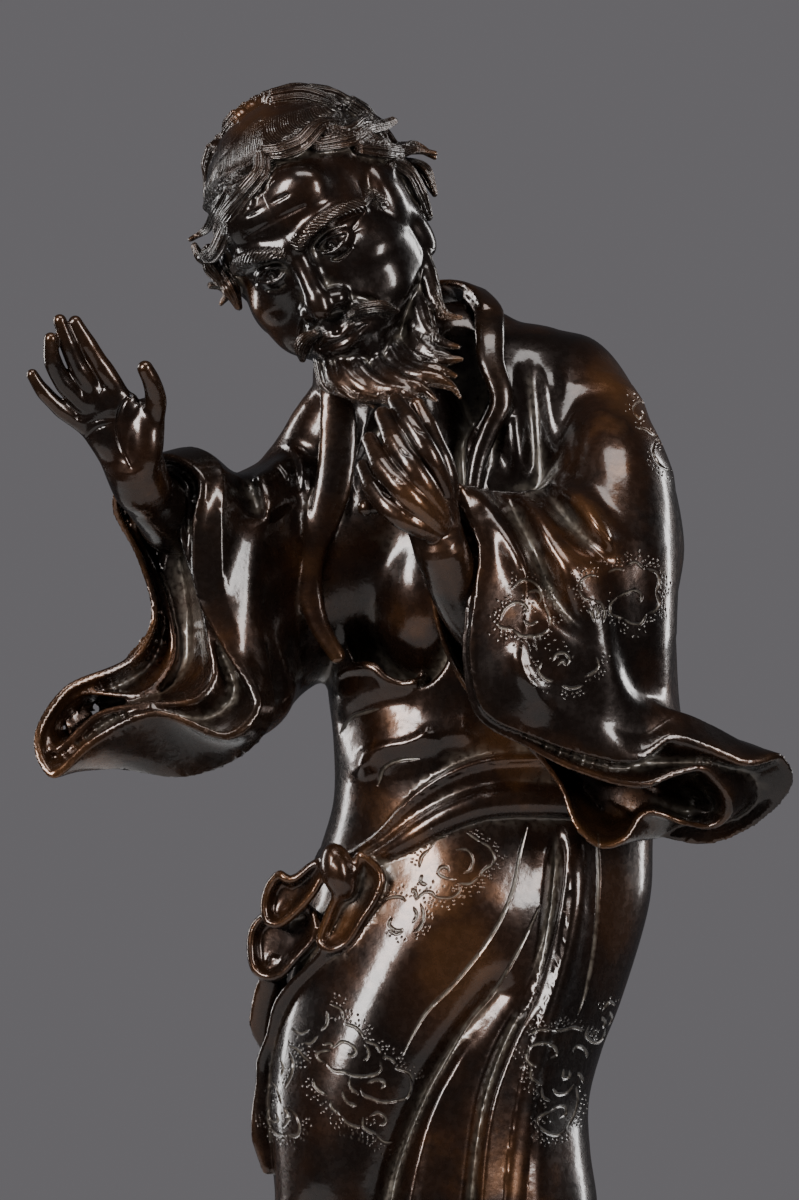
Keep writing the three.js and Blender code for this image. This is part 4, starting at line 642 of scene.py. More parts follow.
# Colours and gloss of the bronze, the floor and the world
BROWN = {
    "dark": (0.013, 0.0075, 0.0055, 1), "brown": (0.062, 0.024, 0.010, 1), "gold": (0.17, 0.072, 0.024, 1),
    "residue": (0.16, 0.135, 0.105, 1), "rub": 0.30, "dirt": 0.75, "rough": 0.26, "metal": 0.7, "coat": 0.65,
    "coat_rough": 0.12, "haired": False}
HEAD_BROWN = dict(BROWN, rub=0.34, dirt=0.65, haired=True)
LEFT_BROWN = dict(BROWN, brown=(0.085, 0.036, 0.017, 1))
BASE_BROWN = dict(BROWN, rub=0.6)
FLOOR_COLOUR = (0.4, 0.4, 0.4, 1)
FLOOR_RADIUS = 0.7
FLOOR_SIDES = 96
FLOOR_ROUGH = 0.9
BACKDROP_COLOUR = (0.137, 0.132, 0.141, 1)
ROOM_COLOUR = (0.035, 0.034, 0.037, 1)

# Soft boxes: name, place, what it looks at, width and height, and power
SOFTBOXES = [
    ("key", (-1.35, -1.45, 1.2), (0, 0, 0.42), (0.68, 1.05), 66.0),
    ("fill", (1.5, -1.5, 0.9), (0, 0, 0.40), (0.5, 1.1), 36.0),
    ("top", (0.1, -0.7, 2.0), (0, 0, 0.45), (1.1, 0.6), 16.0),
    ("left_rim", (-1.5, 1.0, 0.7), (0, 0, 0.4), (0.3, 1.3), 14.0),
    ("right_rim", (1.5, 1.1, 0.8), (0, 0, 0.4), (0.3, 1.3), 14.0)]


# Curves and skins


def smooth(keys, shares, closed=False):
    """Points on a smooth curve through the keys, each a point or a ring of points. A span counts by the
    square root of its length, so that uneven keys make no loops."""
    keys = np.asarray(keys, float)
    count = len(keys)
    place = np.asarray(shares, float) * (count if closed else count - 1)
    if closed:
        first = np.floor(place).astype(int)
        rows = [keys[(first + k) % count] for k in (-1, 0, 1, 2)]
    else:
        first = np.clip(np.floor(place).astype(int), 0, count - 2)
        padded = np.concatenate([2 * keys[:1] - keys[1:2], keys, 2 * keys[-1:] - keys[-2:-1]])
        rows = [padded[first + k] for k in (0, 1, 2, 3)]
    weight = (place - first).reshape((-1,) + (1,) * (keys.ndim - 1))
    a, b, c, d = rows
    gaps = [np.sqrt(np.linalg.norm(q - p, axis=-1, keepdims=True)) for p, q in ((a, b), (b, c), (c, d))]
    middle = np.where(gaps[1] < 1e-4, 1.0, gaps[1])
    before, after = (np.where(gap < 1e-4, middle, gap) for gap in (gaps[0], gaps[2]))
    start = ((b - a) / before - (c - a) / (before + middle) + (c - b) / middle) * middle
    finish = ((c - b) / middle - (d - b) / (middle + after) + (d - c) / after) * middle
    square = -3 * b + 3 * c - 2 * start - finish
    cube = 2 * b - 2 * c + start + finish
    return b + start * weight + square * weight**2 + cube * weight**3


def spaced(keys, count, closed=False):
    """Points at even distances along the curve; an open curve gets both its ends."""
    fine = smooth(keys, np.linspace(0, 1, 401) * (1 - 1e-12), closed)
    lengths = np.concatenate([[0], np.cumsum(np.linalg.norm(np.diff(fine, axis=0), axis=1))])
    targets = lengths[-1] * (np.arange(count) / count if closed else np.linspace(0, 1, count))
    return np.stack([np.interp(targets, lengths, fine[:, k]) for k in range(fine.shape[1])], axis=1)


def spread(values, count):
    """Values given at even stations, read at count even places."""
    return np.interp(np.linspace(0, 1, count), np.linspace(0, 1, len(values)), values)


def unit(vectors):
    return vectors / np.maximum(np.linalg.norm(vectors, axis=-1, keepdims=True), 1e-9)


def smoothstep(values, low, high):
    share = np.clip((values - low) / (high - low), 0, 1)
    return share * share * (3 - 2 * share)


def on_plane(pixels):
    """Pixels of the photograph's frame as [x, z] in millimetres."""
    return [[(u - COLUMN_OF_ZERO) * MM_PER_PIXEL, (ROW_OF_ZERO - v) * MM_PER_PIXEL] for u, v in pixels]


def skin(rings):
    """A closed skin through rings of equal length, with a fan over each end."""
    rings = np.asarray(rings, float)
    rows, count = rings.shape[:2]
    r, i = np.meshgrid(np.arange(rows - 1), np.arange(count), indexing="ij")
    a = (r * count + i).ravel()
    b = (r * count + (i + 1) % count).ravel()
    faces = [np.stack([a, b, a + count], 1), np.stack([b, b + count, a + count], 1)]
    points = np.concatenate([rings.reshape(-1, 3), rings[:1].mean(1), rings[-1:].mean(1)])
    around = np.arange(count)
    ahead = (around + 1) % count
    last = (rows - 1) * count
    faces.append(np.stack([ahead, around, np.full(count, rows * count)], 1))
    faces.append(np.stack([last + around, last + ahead, np.full(count, rows * count + 1)], 1))
    return points, np.concatenate(faces)


def oval(centre, start, front, count):
    angles = 2 * np.pi * np.arange(count)[:, None] / count
    centre, start, front = (np.array(part, float) for part in (centre, start, front))
    return centre + start * np.cos(angles) + front * np.sin(angles)


def tube(path, widths, depths=None, sides=32, steps=60, across=(1, 0, 0)):
    """A tube along a smooth path with round ends; widths and depths are half sizes at even stations."""
    places = spaced(path, steps + 1)
    wide = spread(widths, steps + 1)
    deep = wide if depths is None else spread(depths, steps + 1)
    ahead = unit(np.gradient(places, axis=0))
    angles = 2 * np.pi * np.arange(sides)[:, None] / sides
    side = np.array(across, float)
    rings = []
    for s in range(steps + 1):
        side = unit(side - ahead[s] * np.dot(side, ahead[s]))
        up = np.cross(ahead[s], side)
        ends = {0: (-0.97, -0.85, -0.6, -0.3, 0), steps: (0, 0.3, 0.6, 0.85, 0.97)}.get(s, (0,))
        for end in ends:
            share = math.sqrt(1 - end * end)
            middle = places[s] + ahead[s] * end * min(wide[s], deep[s])
            across_part = side * np.cos(angles) * wide[s] * share
            rings.append(middle + across_part + up * np.sin(angles) * deep[s] * share)
    return skin(rings)


# Clay: a solid held as distances to its surface on a regular grid


def joined(a, b, blend):
    """The union of two distance fields, with a fillet about as wide as the blend."""
    overlap = np.maximum(blend - np.abs(a - b), 0)
    return np.minimum(a, b) - overlap * overlap / (4 * blend)


def carved(a, b, blend):
    """The first field less the second."""
    return -joined(-a, b, blend)


def read_grid(grid, place):
    """A grid's values at places given in cells, blended between the cells around each."""
    place = np.clip(place, 0, np.array(grid.shape) - 1.001)
    cell = place.astype(int)
    share = place - cell
    total = np.zeros(len(place))
    for corner in np.ndindex((2,) * grid.ndim):
        weight = np.prod(np.where(corner, share, 1 - share), axis=1)
        total += weight * grid[tuple((cell + corner).T)]
    return total


class Clay:
    def __init__(self, low, high, voxel, reach):
        self.voxel = voxel
        self.reach = reach
        self.first = np.floor(np.array(low) / voxel).astype(int)
        self.shape = np.ceil(np.array(high) / voxel).astype(int) - self.first + 1
        self.field = np.full(self.shape, reach, np.float32)
        self.hair = []

    def window(self, low, high):
        """The part of the grid between two corners: its slices, and its x, y and z as open arrays."""
        start = np.clip(np.floor(np.array(low) / self.voxel).astype(int) - self.first, 0, self.shape)
        stop = np.clip(np.ceil(np.array(high) / self.voxel).astype(int) - self.first + 1, 0, self.shape)
        axes = [(np.arange(start[k], stop[k]) + self.first[k]) * self.voxel for k in range(3)]
        slices = tuple(slice(start[k], stop[k]) for k in range(3))
        return slices, np.ix_(*[axis.astype(np.float32) for axis in axes])

    def measured(self, shape, reach):
        """Distances to a closed mesh, in the window round it, true up to a reach."""
        points, faces = shape
        slices, _ = self.window(points.min(0) - reach, points.max(0) + reach)
        part = np.empty([s.stop - s.start for s in slices], np.float32)
        grid = openvdb.FloatGrid.createLevelSetFromPolygons(
            points.astype(np.float32), triangles=faces.astype(np.uint32),
            transform=openvdb.createLinearTransform(voxelSize=self.voxel),
            halfWidth=reach / self.voxel)
        grid.copyToArray(part, ijk=tuple(int(s.start + f) for s, f in zip(slices, self.first)))
        return slices, part

    def mix(self, slices, part, blend, take=False):
        blended = carved if take else joined
        self.field[slices] = blended(self.field[slices], part, blend)

    def add(self, shape, blend, change=None, reach=None):
        slices, part = self.measured(shape, reach or self.reach)
        if change is not None:
            part = change(part, slices)
        self.mix(slices, part, blend)

    def cut(self, shape, blend):
        slices, part = self.measured(shape, self.reach)
        self.mix(slices, part, blend, take=True)

    def blob(self, centre, radii, blend, take=False, mirror=False, turn=0.0):
        """Adds or takes an ellipsoid, turned in degrees about Y; mirror makes a second one at -x."""
        margin = max(radii) * 1.1 + blend
        centre = np.array(centre, float)
        low, high = centre - margin, centre + margin
        if mirror:
            low[0], high[0] = -high[0], high[0]
        slices, (x, y, z) = self.window(low, high)
        x, y, z = (np.abs(x) if mirror else x) - centre[0], y - centre[1], z - centre[2]
        cos, sin = math.cos(math.radians(turn)), math.sin(math.radians(turn))
        x, z = x * cos + z * sin, z * cos - x * sin
        near = np.sqrt((x / radii[0]) ** 2 + (y / radii[1]) ** 2 + (z / radii[2]) ** 2)
        steep = np.sqrt((x / radii[0] ** 2) ** 2 + (y / radii[1] ** 2) ** 2 + (z / radii[2] ** 2) ** 2)
        self.mix(slices, near * (near - 1) / np.maximum(steep, 1e-6), blend, take)

    def rope(self, path, radii, blend, take=False, mirror=False, pieces=10):
        """Adds or takes a round rope along a smooth path; mirror makes a second one at -x."""
        places = smooth(path, np.linspace(0, 1, pieces + 1))
        thick = spread(radii, pieces + 1)
        margin = max(radii) + blend + 1
        low, high = places.min(0) - margin, places.max(0) + margin
        if mirror:
            low[0] = -high[0]
        slices, (x, y, z) = self.window(low, high)
        if mirror:
            x = np.abs(x)
        part = np.full([s.stop - s.start for s in slices], self.reach, np.float32)
        for p, q, start, finish in zip(places[:-1], places[1:], thick[:-1], thick[1:]):
            d = (q - p).astype(np.float32)
            share = ((x - p[0]) * d[0] + (y - p[1]) * d[1] + (z - p[2]) * d[2]) / max(np.dot(d, d), 1e-6)
            share = np.clip(share, 0, 1)
            away = np.sqrt((x - p[0] - share * d[0]) ** 2 + (y - p[1] - share * d[1]) ** 2
                           + (z - p[2] - share * d[2]) ** 2)
            part = np.minimum(part, away - start - share * (finish - start))
        self.mix(slices, part.astype(np.float32), blend, take)

    def blobs(self, table, **options):
        for centre, radii, blend in table:
            self.blob(centre, radii, blend, **options)

    def ropes(self, table, **options):
        for path, radii, blend in table:
            self.rope(path, radii, blend, **options)

    def read(self, points):
        """The field at points, between the grid's cells."""
        return read_grid(self.field, points / self.voxel - self.first)

    def outward(self, points):
        """The outward direction at points."""
        step = 0.6 * self.voxel
        sides = [self.read(points + step * axis) - self.read(points - step * axis) for axis in np.eye(3)]
        return unit(np.stack(sides, axis=1))

    def settle(self, points, rounds=2):
        """Points moved onto the surface."""
        for _ in range(rounds):
            points = points - self.outward(points) * self.read(points)[:, None]
        return points

    def surface(self):
        grid = openvdb.FloatGrid(self.reach)
        grid.transform = openvdb.createLinearTransform(voxelSize=self.voxel)
        grid.copyFromArray(np.clip(self.field, -self.reach, self.reach),
                           ijk=tuple(int(f) for f in self.first), tolerance=0.0)
        points, quads = grid.convertToQuads(isovalue=0.0)
        quads = quads.astype(int)
        return points.astype(float), np.concatenate([quads[:, [0, 1, 2]], quads[:, [0, 2, 3]]])

    def front(self, x, z):
        """The y of the surface first met from the front at each x and z."""
        start = np.full(len(x), self.first[1] * self.voxel, float)
        points = np.stack([x, start, z], axis=1).astype(float)
        for _ in range(60):
            points[:, 1] += np.clip(self.read(points) * 0.9, 0, 4)
        return points[:, 1]

    def shown(self, points):
        """Which points lie on the surface that is seen from the front."""
        return np.abs(points[:, 1] - self.front(points[:, 0], points[:, 2])) < SHOWN_DEPTH


# Relief: heights over the picture plane


def along_line(points, x, z):
    """Distance to a polyline in the x-z plane, whether each place is on its left, and how far along it is."""
    points = np.asarray(points, float)
    steps = np.linalg.norm(np.diff(points, axis=0), axis=1)
    before = np.concatenate([[0], np.cumsum(steps)])
    distance = np.full(np.broadcast(x, z).shape, np.inf)
    left = np.zeros(distance.shape)
    travel = np.zeros(distance.shape)
    for p, q, length, start in zip(points[:-1], points[1:], steps, before[:-1]):
        d = (q - p) / max(length, 1e-6)
        run = np.clip((x - p[0]) * d[0] + (z - p[1]) * d[1], 0, length)
        off_x, off_z = x - p[0] - run * d[0], z - p[1] - run * d[1]
        away = np.hypot(off_x, off_z)
        nearer = away < distance
        distance = np.where(nearer, away, distance)
        left = np.where(nearer, d[0] * off_z - d[1] * off_x, left)
        travel = np.where(nearer, start + run, travel)
    return distance, np.sign(left), travel / before[-1]


def fold(kind, height, reach, points, side=-1, fade=(0.15, 0.15), fall=10):
    """A fold along [x, z] points, on the front at side -1 and on the back at side 1. Its ends fade in over
    two shares of its length, and an edge falls back to nothing over the length in fall."""
    return {"kind": kind, "height": height, "reach": reach, "points": points, "side": side, "fade": fade,
            "fall": fall}


def fold_height(fold, x, z):
    """The height that one fold adds."""
    points = smooth(fold["points"], np.linspace(0, 1, 6 * len(fold["points"])))
    distance, left, share = along_line(points, x, z)
    start, finish = fold["fade"]
    strength = np.ones(distance.shape)
    if start:
        strength = strength * smoothstep(share, 0, start)
    if finish:
        strength = strength * smoothstep(1 - share, 0, finish)
    height, reach = fold["height"], fold["reach"]
    if fold["kind"] == "ridge":
        shape = np.exp(-((distance / reach) ** 2))
    elif fold["kind"] == "crease":
        shape = np.maximum(1 - distance / reach, 0) ** 1.5
    elif fold["kind"] == "roll":
        shape = np.sqrt(np.maximum(1 - (distance / reach) ** 2, 0))
    else:
        signed = left * distance
        shape = smoothstep(signed, -reach, reach) * np.maximum(0, 1 - np.maximum(0, signed) / fold["fall"])
    return height * strength * shape


def pressed(clay, folds):
    """A change for Clay.add that presses folds into a shape, each on the side that it faces."""
    def change(part, slices):
        x, _, z = ((np.arange(s.start, s.stop) + clay.first[k]) * clay.voxel for k, s in enumerate(slices))
        slope = np.gradient(part, clay.voxel, axis=1)
        for side in (-1, 1):
            height = sum(fold_height(f, x[:, None], z[None, :]) for f in folds if f["side"] == side)
            if np.ndim(height):
                facing = smoothstep(slope * side, 0.1, 0.6)
                part = part - (facing * height[:, None, :]).astype(np.float32)
        return part
    return change


# The robe


def body_point(angle, z, out=0.0):
    """A point on the robe's plain outline at a height and an angle round it, moved outwards."""
    rows = np.array(BODY_SECTIONS, float)
    x, y, width, depth, rise = [np.interp(z, rows[:, 0], rows[:, k]) for k in range(1, 6)]

    def squared(value):
        return np.sign(value) * np.abs(value) ** (2 / OUTLINE_POWER)

    across = (width + out) * squared(np.cos(angle))
    return np.stack([x + across, y + (depth + out) * squared(np.sin(angle)), z + rise * across], axis=-1)


def body_skin(sides=200, steps=240):
    angles = 2 * np.pi * np.arange(sides) / sides
    keys = [body_point(angles, np.full(sides, float(row[0]))) for row in BODY_SECTIONS]
    return skin(smooth(keys, np.linspace(0, 1, steps + 1) * (1 - 1e-12)))


def body_folds():
    folds = [fold("edge", 5, 2.4, WRAP_FRONT, fade=(0.08, 0), fall=26)]
    folds += [fold("ridge", *f, fade=(0, 0)) for f in FRONT_FOLDS]
    folds += [fold("ridge", *f, fade=(0, 0), side=1) for f in BACK_FOLDS]
    folds += [
        fold("crease", -3.6, 4.2, on_plane(WRAP_EDGE), fade=(0.05, 0.02)),
        fold("roll", 1.6, 3.6, on_plane(WRAP_BORDER), fade=(0.08, 0.02)),
        fold("ridge", -3.6, 3.6, on_plane(KNEE_CREASE), fade=(0.35, 0.02)),
        fold("ridge", 1.3, 1.8, on_plane(KNEE_RIDGE)),
        fold("edge", 2.2, 1.6, on_plane(WAIST_LINES[1][::-1]), fall=14),
        fold("ridge", -2.2, 3, on_plane(LAPEL_GROOVE))]
    folds += [fold("ridge", 3.0, 5.4, on_plane(line), fade=(0.3, 0.25)) for line in SHOULDER_RIDGES]
    folds += [fold("ridge", -2.8, 5.0, on_plane(line), fade=(0.3, 0.25)) for line in SHOULDER_VALLEYS]
    return folds


def left_sleeve_folds():
    folds = [fold("ridge", 3.6, 5.2, on_plane(line), fade=(0, 0.35)) for line in PLEAT_RIDGES]
    folds += [fold("ridge", -6.5, 3.8, on_plane(line), fade=(0, 0.4)) for line in PLEAT_VALLEYS]
    folds += [fold("ridge", 1.5, 2.5, on_plane(SLEEVE_EDGE), fade=(0.3, 0.3))]
    return folds


def right_sleeve_folds():
    return [
        fold("edge", 4.0, 1.6, on_plane(ARMPIT_LINES[0]), fall=16, fade=(0.15, 0.3)),
        fold("edge", 3.0, 1.4, on_plane(ARMPIT_LINES[1]), fall=13, fade=(0.1, 0.3)),
        fold("edge", 2.0, 1.4, on_plane(ARMPIT_LINES[2]), fall=9, fade=(0.1, 0.3)),
        fold("ridge", -4.5, 4.5, on_plane(ARMPIT_HOLLOW), fade=(0.1, 0.3))]


def drawn_in(ring, share, push):
    """Points moved towards the middle line of a long ring, and pushed back into the sleeve."""
    middles = 0.5 * (ring + np.roll(ring[::-1], 1, axis=0))
    span = round(0.14 * len(ring))
    middle = np.mean([np.roll(middles, k, axis=0) for k in range(-span, span + 1)], axis=0)
    return ring * (1 - share) + middle * share + np.array([0, push, 0])


def inset(ring, wall):
    """Points moved inwards across the rim by a wall's thickness, as seen from the front."""
    after = np.roll(ring, -1, axis=0)
    area = np.sum(ring[:, 0] * after[:, 2] - after[:, 0] * ring[:, 2])
    along = after - np.roll(ring, 1, axis=0)
    inward = unit(np.stack([-along[:, 2], 0 * along[:, 0], along[:, 0]], axis=1))
    return ring + inward * np.sign(area) * wall


def sleeve(root, hem, rim, inner_rim, sides=176, root_steps=70, hem_steps=14):
    """A sleeve from the armhole to its mouth, with a groove between its two rims and a hollow inside."""
    def ring_of(keys):
        return oval(*keys, sides) if isinstance(keys, tuple) else spaced(keys, sides, closed=True)

    outer = ring_of(rim)
    inner = ring_of(inner_rim)
    lip = inset(outer, RIM_WALL)
    groove = 0.5 * (lip + inner) + np.array([0, RIM_GROOVE, 0])
    inner_lip = inset(inner, INNER_WALL)
    body = smooth([ring_of(keys) for keys in root] + [ring_of(hem)], np.linspace(0, 1, root_steps))
    flare = [body[-1] + (outer - body[-1]) * share for share in np.linspace(0, 1, hem_steps)[1:]]
    mouth = [lip, groove, inner, inner_lip]
    mouth += [drawn_in(inner_lip, share, push) for share, push in MOUTH_STEPS]
    return skin(np.concatenate([body, flare, mouth]))


def shrunk(ring, share, push):
    """A ring drawn towards its middle and pushed back."""
    middle = ring.mean(axis=0)
    return middle + (ring - middle) * share + np.array([0, push, 0])


def bow_loop(outline, sides=96):
    """A loop of folded ribbon as a bowl that is open towards the front, with a round rim."""
    rim = spaced(outline, sides, closed=True)
    inner = inset(rim, LOOP_WALL)
    rings = [shrunk(rim, 0.6, LOOP_DEPTH + 3), shrunk(rim, 0.9, LOOP_DEPTH + 1)]
    rings += [shrunk(rim, 0.985, 0.6 * LOOP_DEPTH)]
    rings += [inset(rim, wall * LOOP_WALL) + [0, push * LOOP_WALL, 0] for wall, push in LOOP_RIM]
    rings += [inner + [0, 0.4 * LOOP_WALL, 0]]
    rings += [shrunk(inner, share, push * LOOP_DEPTH) for share, push in LOOP_HOLLOW]
    return skin(rings)


def strap(path, widths, thick, across):
    return tube(path, widths, depths=[thick] * len(widths), sides=28, steps=90, across=across)


def sash_band():
    """The closed band round the waist."""
    stations = [[*body_point(math.radians(angle), float(z)), size] for angle, z, size in SASH_STATIONS]
    waist = spaced(stations, 240, closed=True)
    centres, size = waist[:, :3], waist[:, 3]
    section = smooth(SASH_PROFILE, np.linspace(0, 1, 49)[:-1], closed=True)
    count, rows = len(centres), len(section)
    ahead = np.roll(centres, -1, axis=0) - np.roll(centres, 1, axis=0)
    out = unit(np.stack([ahead[:, 1], -ahead[:, 0], 0 * ahead[:, 0]], axis=1))
    offsets = out[:, None, :] * section[None, :, 0:1] + np.array([0, 0, 1]) * section[None, :, 1:2]
    points = centres[:, None, :] + offsets * size[:, None, None]
    i, k = (grid.ravel() for grid in np.meshgrid(np.arange(count), np.arange(rows), indexing="ij"))
    a, b = i * rows + k, i * rows + (k + 1) % rows
    c, d = (i + 1) % count * rows + k, (i + 1) % count * rows + (k + 1) % rows
    return points.reshape(-1, 3), np.concatenate([np.stack([a, b, c], 1), np.stack([b, d, c], 1)])


def prism(outline, front, back):
    """An outline in the x-z plane as a solid between two y places."""
    flat = np.array([[x, 0, z] for x, z in outline], float)
    area = np.sum(flat[:, 0] * np.roll(flat[:, 2], -1) - np.roll(flat[:, 0], -1) * flat[:, 2])
    if area > 0:
        flat = flat[::-1]
    return skin([flat + [0, back, 0], flat + [0, front, 0]])


def foot(x, turn):
    lean = math.radians(turn)
    toe = [x + FOOT_REACH * math.sin(lean), FOOT_BACK - FOOT_REACH * math.cos(lean), STAND_Z + TOE_HEIGHT]
    return tube([[x, FOOT_BACK, STAND_Z + INSTEP_HEIGHT], toe], FOOT_WIDTHS, depths=FOOT_DEPTHS)


def rolled_edge(clay):
    """The turned-over edge of the wrap below the open chest, laid on the surface."""
    flat = spaced(on_plane(ROLLED_EDGE), 24)
    y = clay.front(flat[:, 0], flat[:, 1] - 2.0)
    clay.rope(np.stack([flat[:, 0], y + 0.3, flat[:, 1]], axis=1), ROLLED_WIDTHS, 1.6, pieces=23)


def trunk(clay):
    """The robe's body with its folds, and the bare chest in its opening."""
    clay.add(body_skin(), 0.1, pressed(clay, body_folds()), reach=BODY_REACH)
    clay.cut(prism(spaced(OPENING, 160, closed=True), OPENING_FRONT, OPENING_BACK), 1.5)
    clay.blobs(CHEST)
    clay.blob(*NAPE)
    clay.rope(*SHOULDER_RISE)
    rolled_edge(clay)


def sleeves(clay):
    right = sleeve(RIGHT_ROOT, RIGHT_HEM, RIGHT_RIM, RIGHT_INNER_RIM)
    clay.add(right, 5, pressed(clay, right_sleeve_folds()))
    left = sleeve(LEFT_ROOT, LEFT_HEM, LEFT_RIM, LEFT_INNER_RIM)
    clay.add(left, 2.5, pressed(clay, left_sleeve_folds()))
    path, widths, depths = LEFT_ARM_BULK
    clay.add(tube(path, widths, depths, sides=90), 9, pressed(clay, left_sleeve_folds()))


def robe_clay():
    clay = Clay(ROBE_LOW, ROBE_HIGH, ROBE_VOXEL, ROBE_REACH)
    trunk(clay)
    sleeves(clay)
    for lapel in LAPELS:
        clay.add(strap(*lapel), 1.5)
    clay.add(sash_band(), 0.8)
    for outline in BOW_LOOPS:
        clay.add(bow_loop(outline), 1)
    clay.blob(*KNOT, turn=KNOT_TURN)
    for crease in KNOT_CREASES:
        clay.rope(crease, [0.3, 0.7, 0.3], 1.0, take=True)
    for tail in TAILS:
        clay.add(strap(*tail), 1)
    for x, turn in FEET:
        clay.add(foot(x, turn), 1.5)
    return clay


# Engraving: strokes and punched dots, drawn on a fine picture plane and pressed into the mesh


class Engraving:
    def __init__(self, low, high, cell=0.1):
        self.cell = cell
        self.low = np.array(low, float)
        size = np.ceil((np.array(high) - self.low) / cell).astype(int) + 1
        self.depth = np.zeros(size, np.float32)
        self.near = np.zeros(size, np.float32)

    def draw(self, points, width, depth):
        """A groove along a polyline, or one punched dot at a single point."""
        points = np.atleast_2d(np.asarray(points, float))
        if len(points) == 1:
            points = np.concatenate([points, points + 1e-3])
        margin = width + 1.0
        start = np.floor((points.min(0) - margin - self.low) / self.cell).astype(int)
        stop = np.ceil((points.max(0) + margin - self.low) / self.cell).astype(int)
        start = np.clip(start, 0, self.depth.shape)
        stop = np.clip(stop, 0, self.depth.shape)
        if (stop <= start).any():
            return
        x = (np.arange(start[0], stop[0]) * self.cell + self.low[0])[:, None]
        z = (np.arange(start[1], stop[1]) * self.cell + self.low[1])[None, :]
        distance, _, share = along_line(points, x, z)
        taper = 0.35 + 0.65 * np.clip(np.minimum(share, 1 - share) * 6, 0, 1) if len(points) > 2 else 1.0
        profile = np.maximum(1 - (distance / (width * taper)) ** 2, 0)
        window = (slice(start[0], stop[0]), slice(start[1], stop[1]))
        self.depth[window] = np.maximum(self.depth[window], depth * taper * profile)
        self.near[window] = np.maximum(self.near[window], 1 - np.maximum(distance - width, 0))

    def read(self, picture, points):
        """A picture's values at points, seen from the front."""
        return read_grid(picture, (points[:, [0, 2]] - self.low) / self.cell)

    def touches(self, points):
        return self.read(self.near, points) > STROKE_NEAR


def stippled(engraving, stroke, centre, chance):
    """Punched dots in rows along the outer side of a rim stroke."""
    points = spaced(stroke, 60)
    ahead = unit(np.gradient(points, axis=0))
    out = np.stack([ahead[:, 1], -ahead[:, 0]], axis=1)
    length = np.linalg.norm(np.diff(points, axis=0), axis=1).sum()
    for row, keep in enumerate(DOT_ROWS):
        count = max(2, int(length / DOT_SPACING))
        for share in (np.arange(count) + 0.5) / count:
            if chance.random() > keep:
                continue
            i = int(share * 59)
            side = np.sign(np.dot(out[i], points[i] - centre)) or 1.0
            away = DOT_START + row * DOT_SPACING + chance.uniform(-0.3, 0.3)
            along = (row % 2 - 0.5) * 0.5 * DOT_SPACING + chance.uniform(-0.35, 0.35)
            engraving.draw(points[i] + out[i] * side * away + ahead[i] * along, DOT_RADIUS, DOT_DEPTH)


def robe_engraving():
    """The cloud scrolls with their dots, and the incised seams."""
    low, high = on_plane([(0, ROW_OF_ZERO), (PICTURE_WIDTH, 0)])
    engraving = Engraving(low, high)
    chance = np.random.default_rng(7)
    for rims, curls in CLOUDS:
        rims = [np.array(on_plane(stroke)) for stroke in rims]
        curls = [np.array(on_plane(stroke)) for stroke in curls]
        centre = np.concatenate(rims).mean(axis=0)
        for stroke in rims + curls:
            engraving.draw(smooth(stroke, np.linspace(0, 1, 5 * len(stroke))), STROKE_WIDTH, STROKE_DEPTH)
        for stroke in rims:
            stippled(engraving, stroke, centre, chance)
    for pixels in SEAMS:
        seam = smooth(on_plane(pixels), np.linspace(0, 1, 8 * len(pixels)))
        engraving.draw(seam, SEAM_WIDTH, SEAM_DEPTH)
    return engraving


# Meshes: finer where something is engraved, lighter elsewhere


def split_edges(points, faces, wanted):
    """Splits the edges that wanted picks, given both their ends, and the triangles beside them."""
    ends = np.sort(faces[:, [[0, 1], [1, 2], [2, 0]]].reshape(-1, 2), axis=1)
    keys, where = np.unique(ends[:, 0] * len(points) + ends[:, 1], return_inverse=True)
    low, high = keys // len(points), keys % len(points)
    split = wanted(points[low], points[high])
    middle = np.full(len(keys), -1)
    middle[split] = len(points) + np.arange(split.sum())
    points = np.concatenate([points, 0.5 * (points[low[split]] + points[high[split]])])
    mids = middle[where].reshape(-1, 3)
    marked = mids >= 0
    number = marked.sum(axis=1)
    made = [faces[number == 0]]
    turns = {1: marked.argmax(axis=1), 2: (marked.argmin(axis=1) + 1) % 3, 3: np.zeros(len(faces), int)}
    for count, turn in turns.items():
        rows = np.flatnonzero(number == count)
        order = (turn[rows][:, None] + np.arange(3)) % 3
        a, b, c = np.take_along_axis(faces[rows], order, axis=1).T
        ab, bc, ca = np.take_along_axis(mids[rows], order, axis=1).T
        pieces = {1: [(a, ab, c), (ab, b, c)], 2: [(a, ab, bc), (ab, b, bc), (a, bc, c)],
                  3: [(a, ab, ca), (ab, b, bc), (ca, bc, c), (ab, bc, ca)]}[count]
        made += [np.stack(piece, axis=1) for piece in pieces]
    return points, np.concatenate(made)


def lightened(points, faces, target):
    """The mesh reduced to about a target number of triangles, fewest where it is flattest."""
    if len(faces) <= target:
        return points, faces
    mesh = bpy.data.meshes.new("rough")
    mesh.from_pydata(points.tolist(), [], faces.tolist())
    rough = bpy.data.objects.new("rough", mesh)
    bpy.context.scene.collection.objects.link(rough)
    modifier = rough.modifiers.new("fewer", "DECIMATE")
    modifier.ratio = target / len(faces)
    graph = bpy.context.evaluated_depsgraph_get()
    made = bpy.data.meshes.new_from_object(rough.evaluated_get(graph))
    points = np.empty(len(made.vertices) * 3)
    made.vertices.foreach_get("co", points)
    made.calc_loop_triangles()
    faces = np.empty(len(made.loop_triangles) * 3, int)
    made.loop_triangles.foreach_get("vertices", faces)
    bpy.data.objects.remove(rough)
    bpy.data.meshes.remove(mesh)
    bpy.data.meshes.remove(made)
    return points.reshape(-1, 3), faces.reshape(-1, 3)


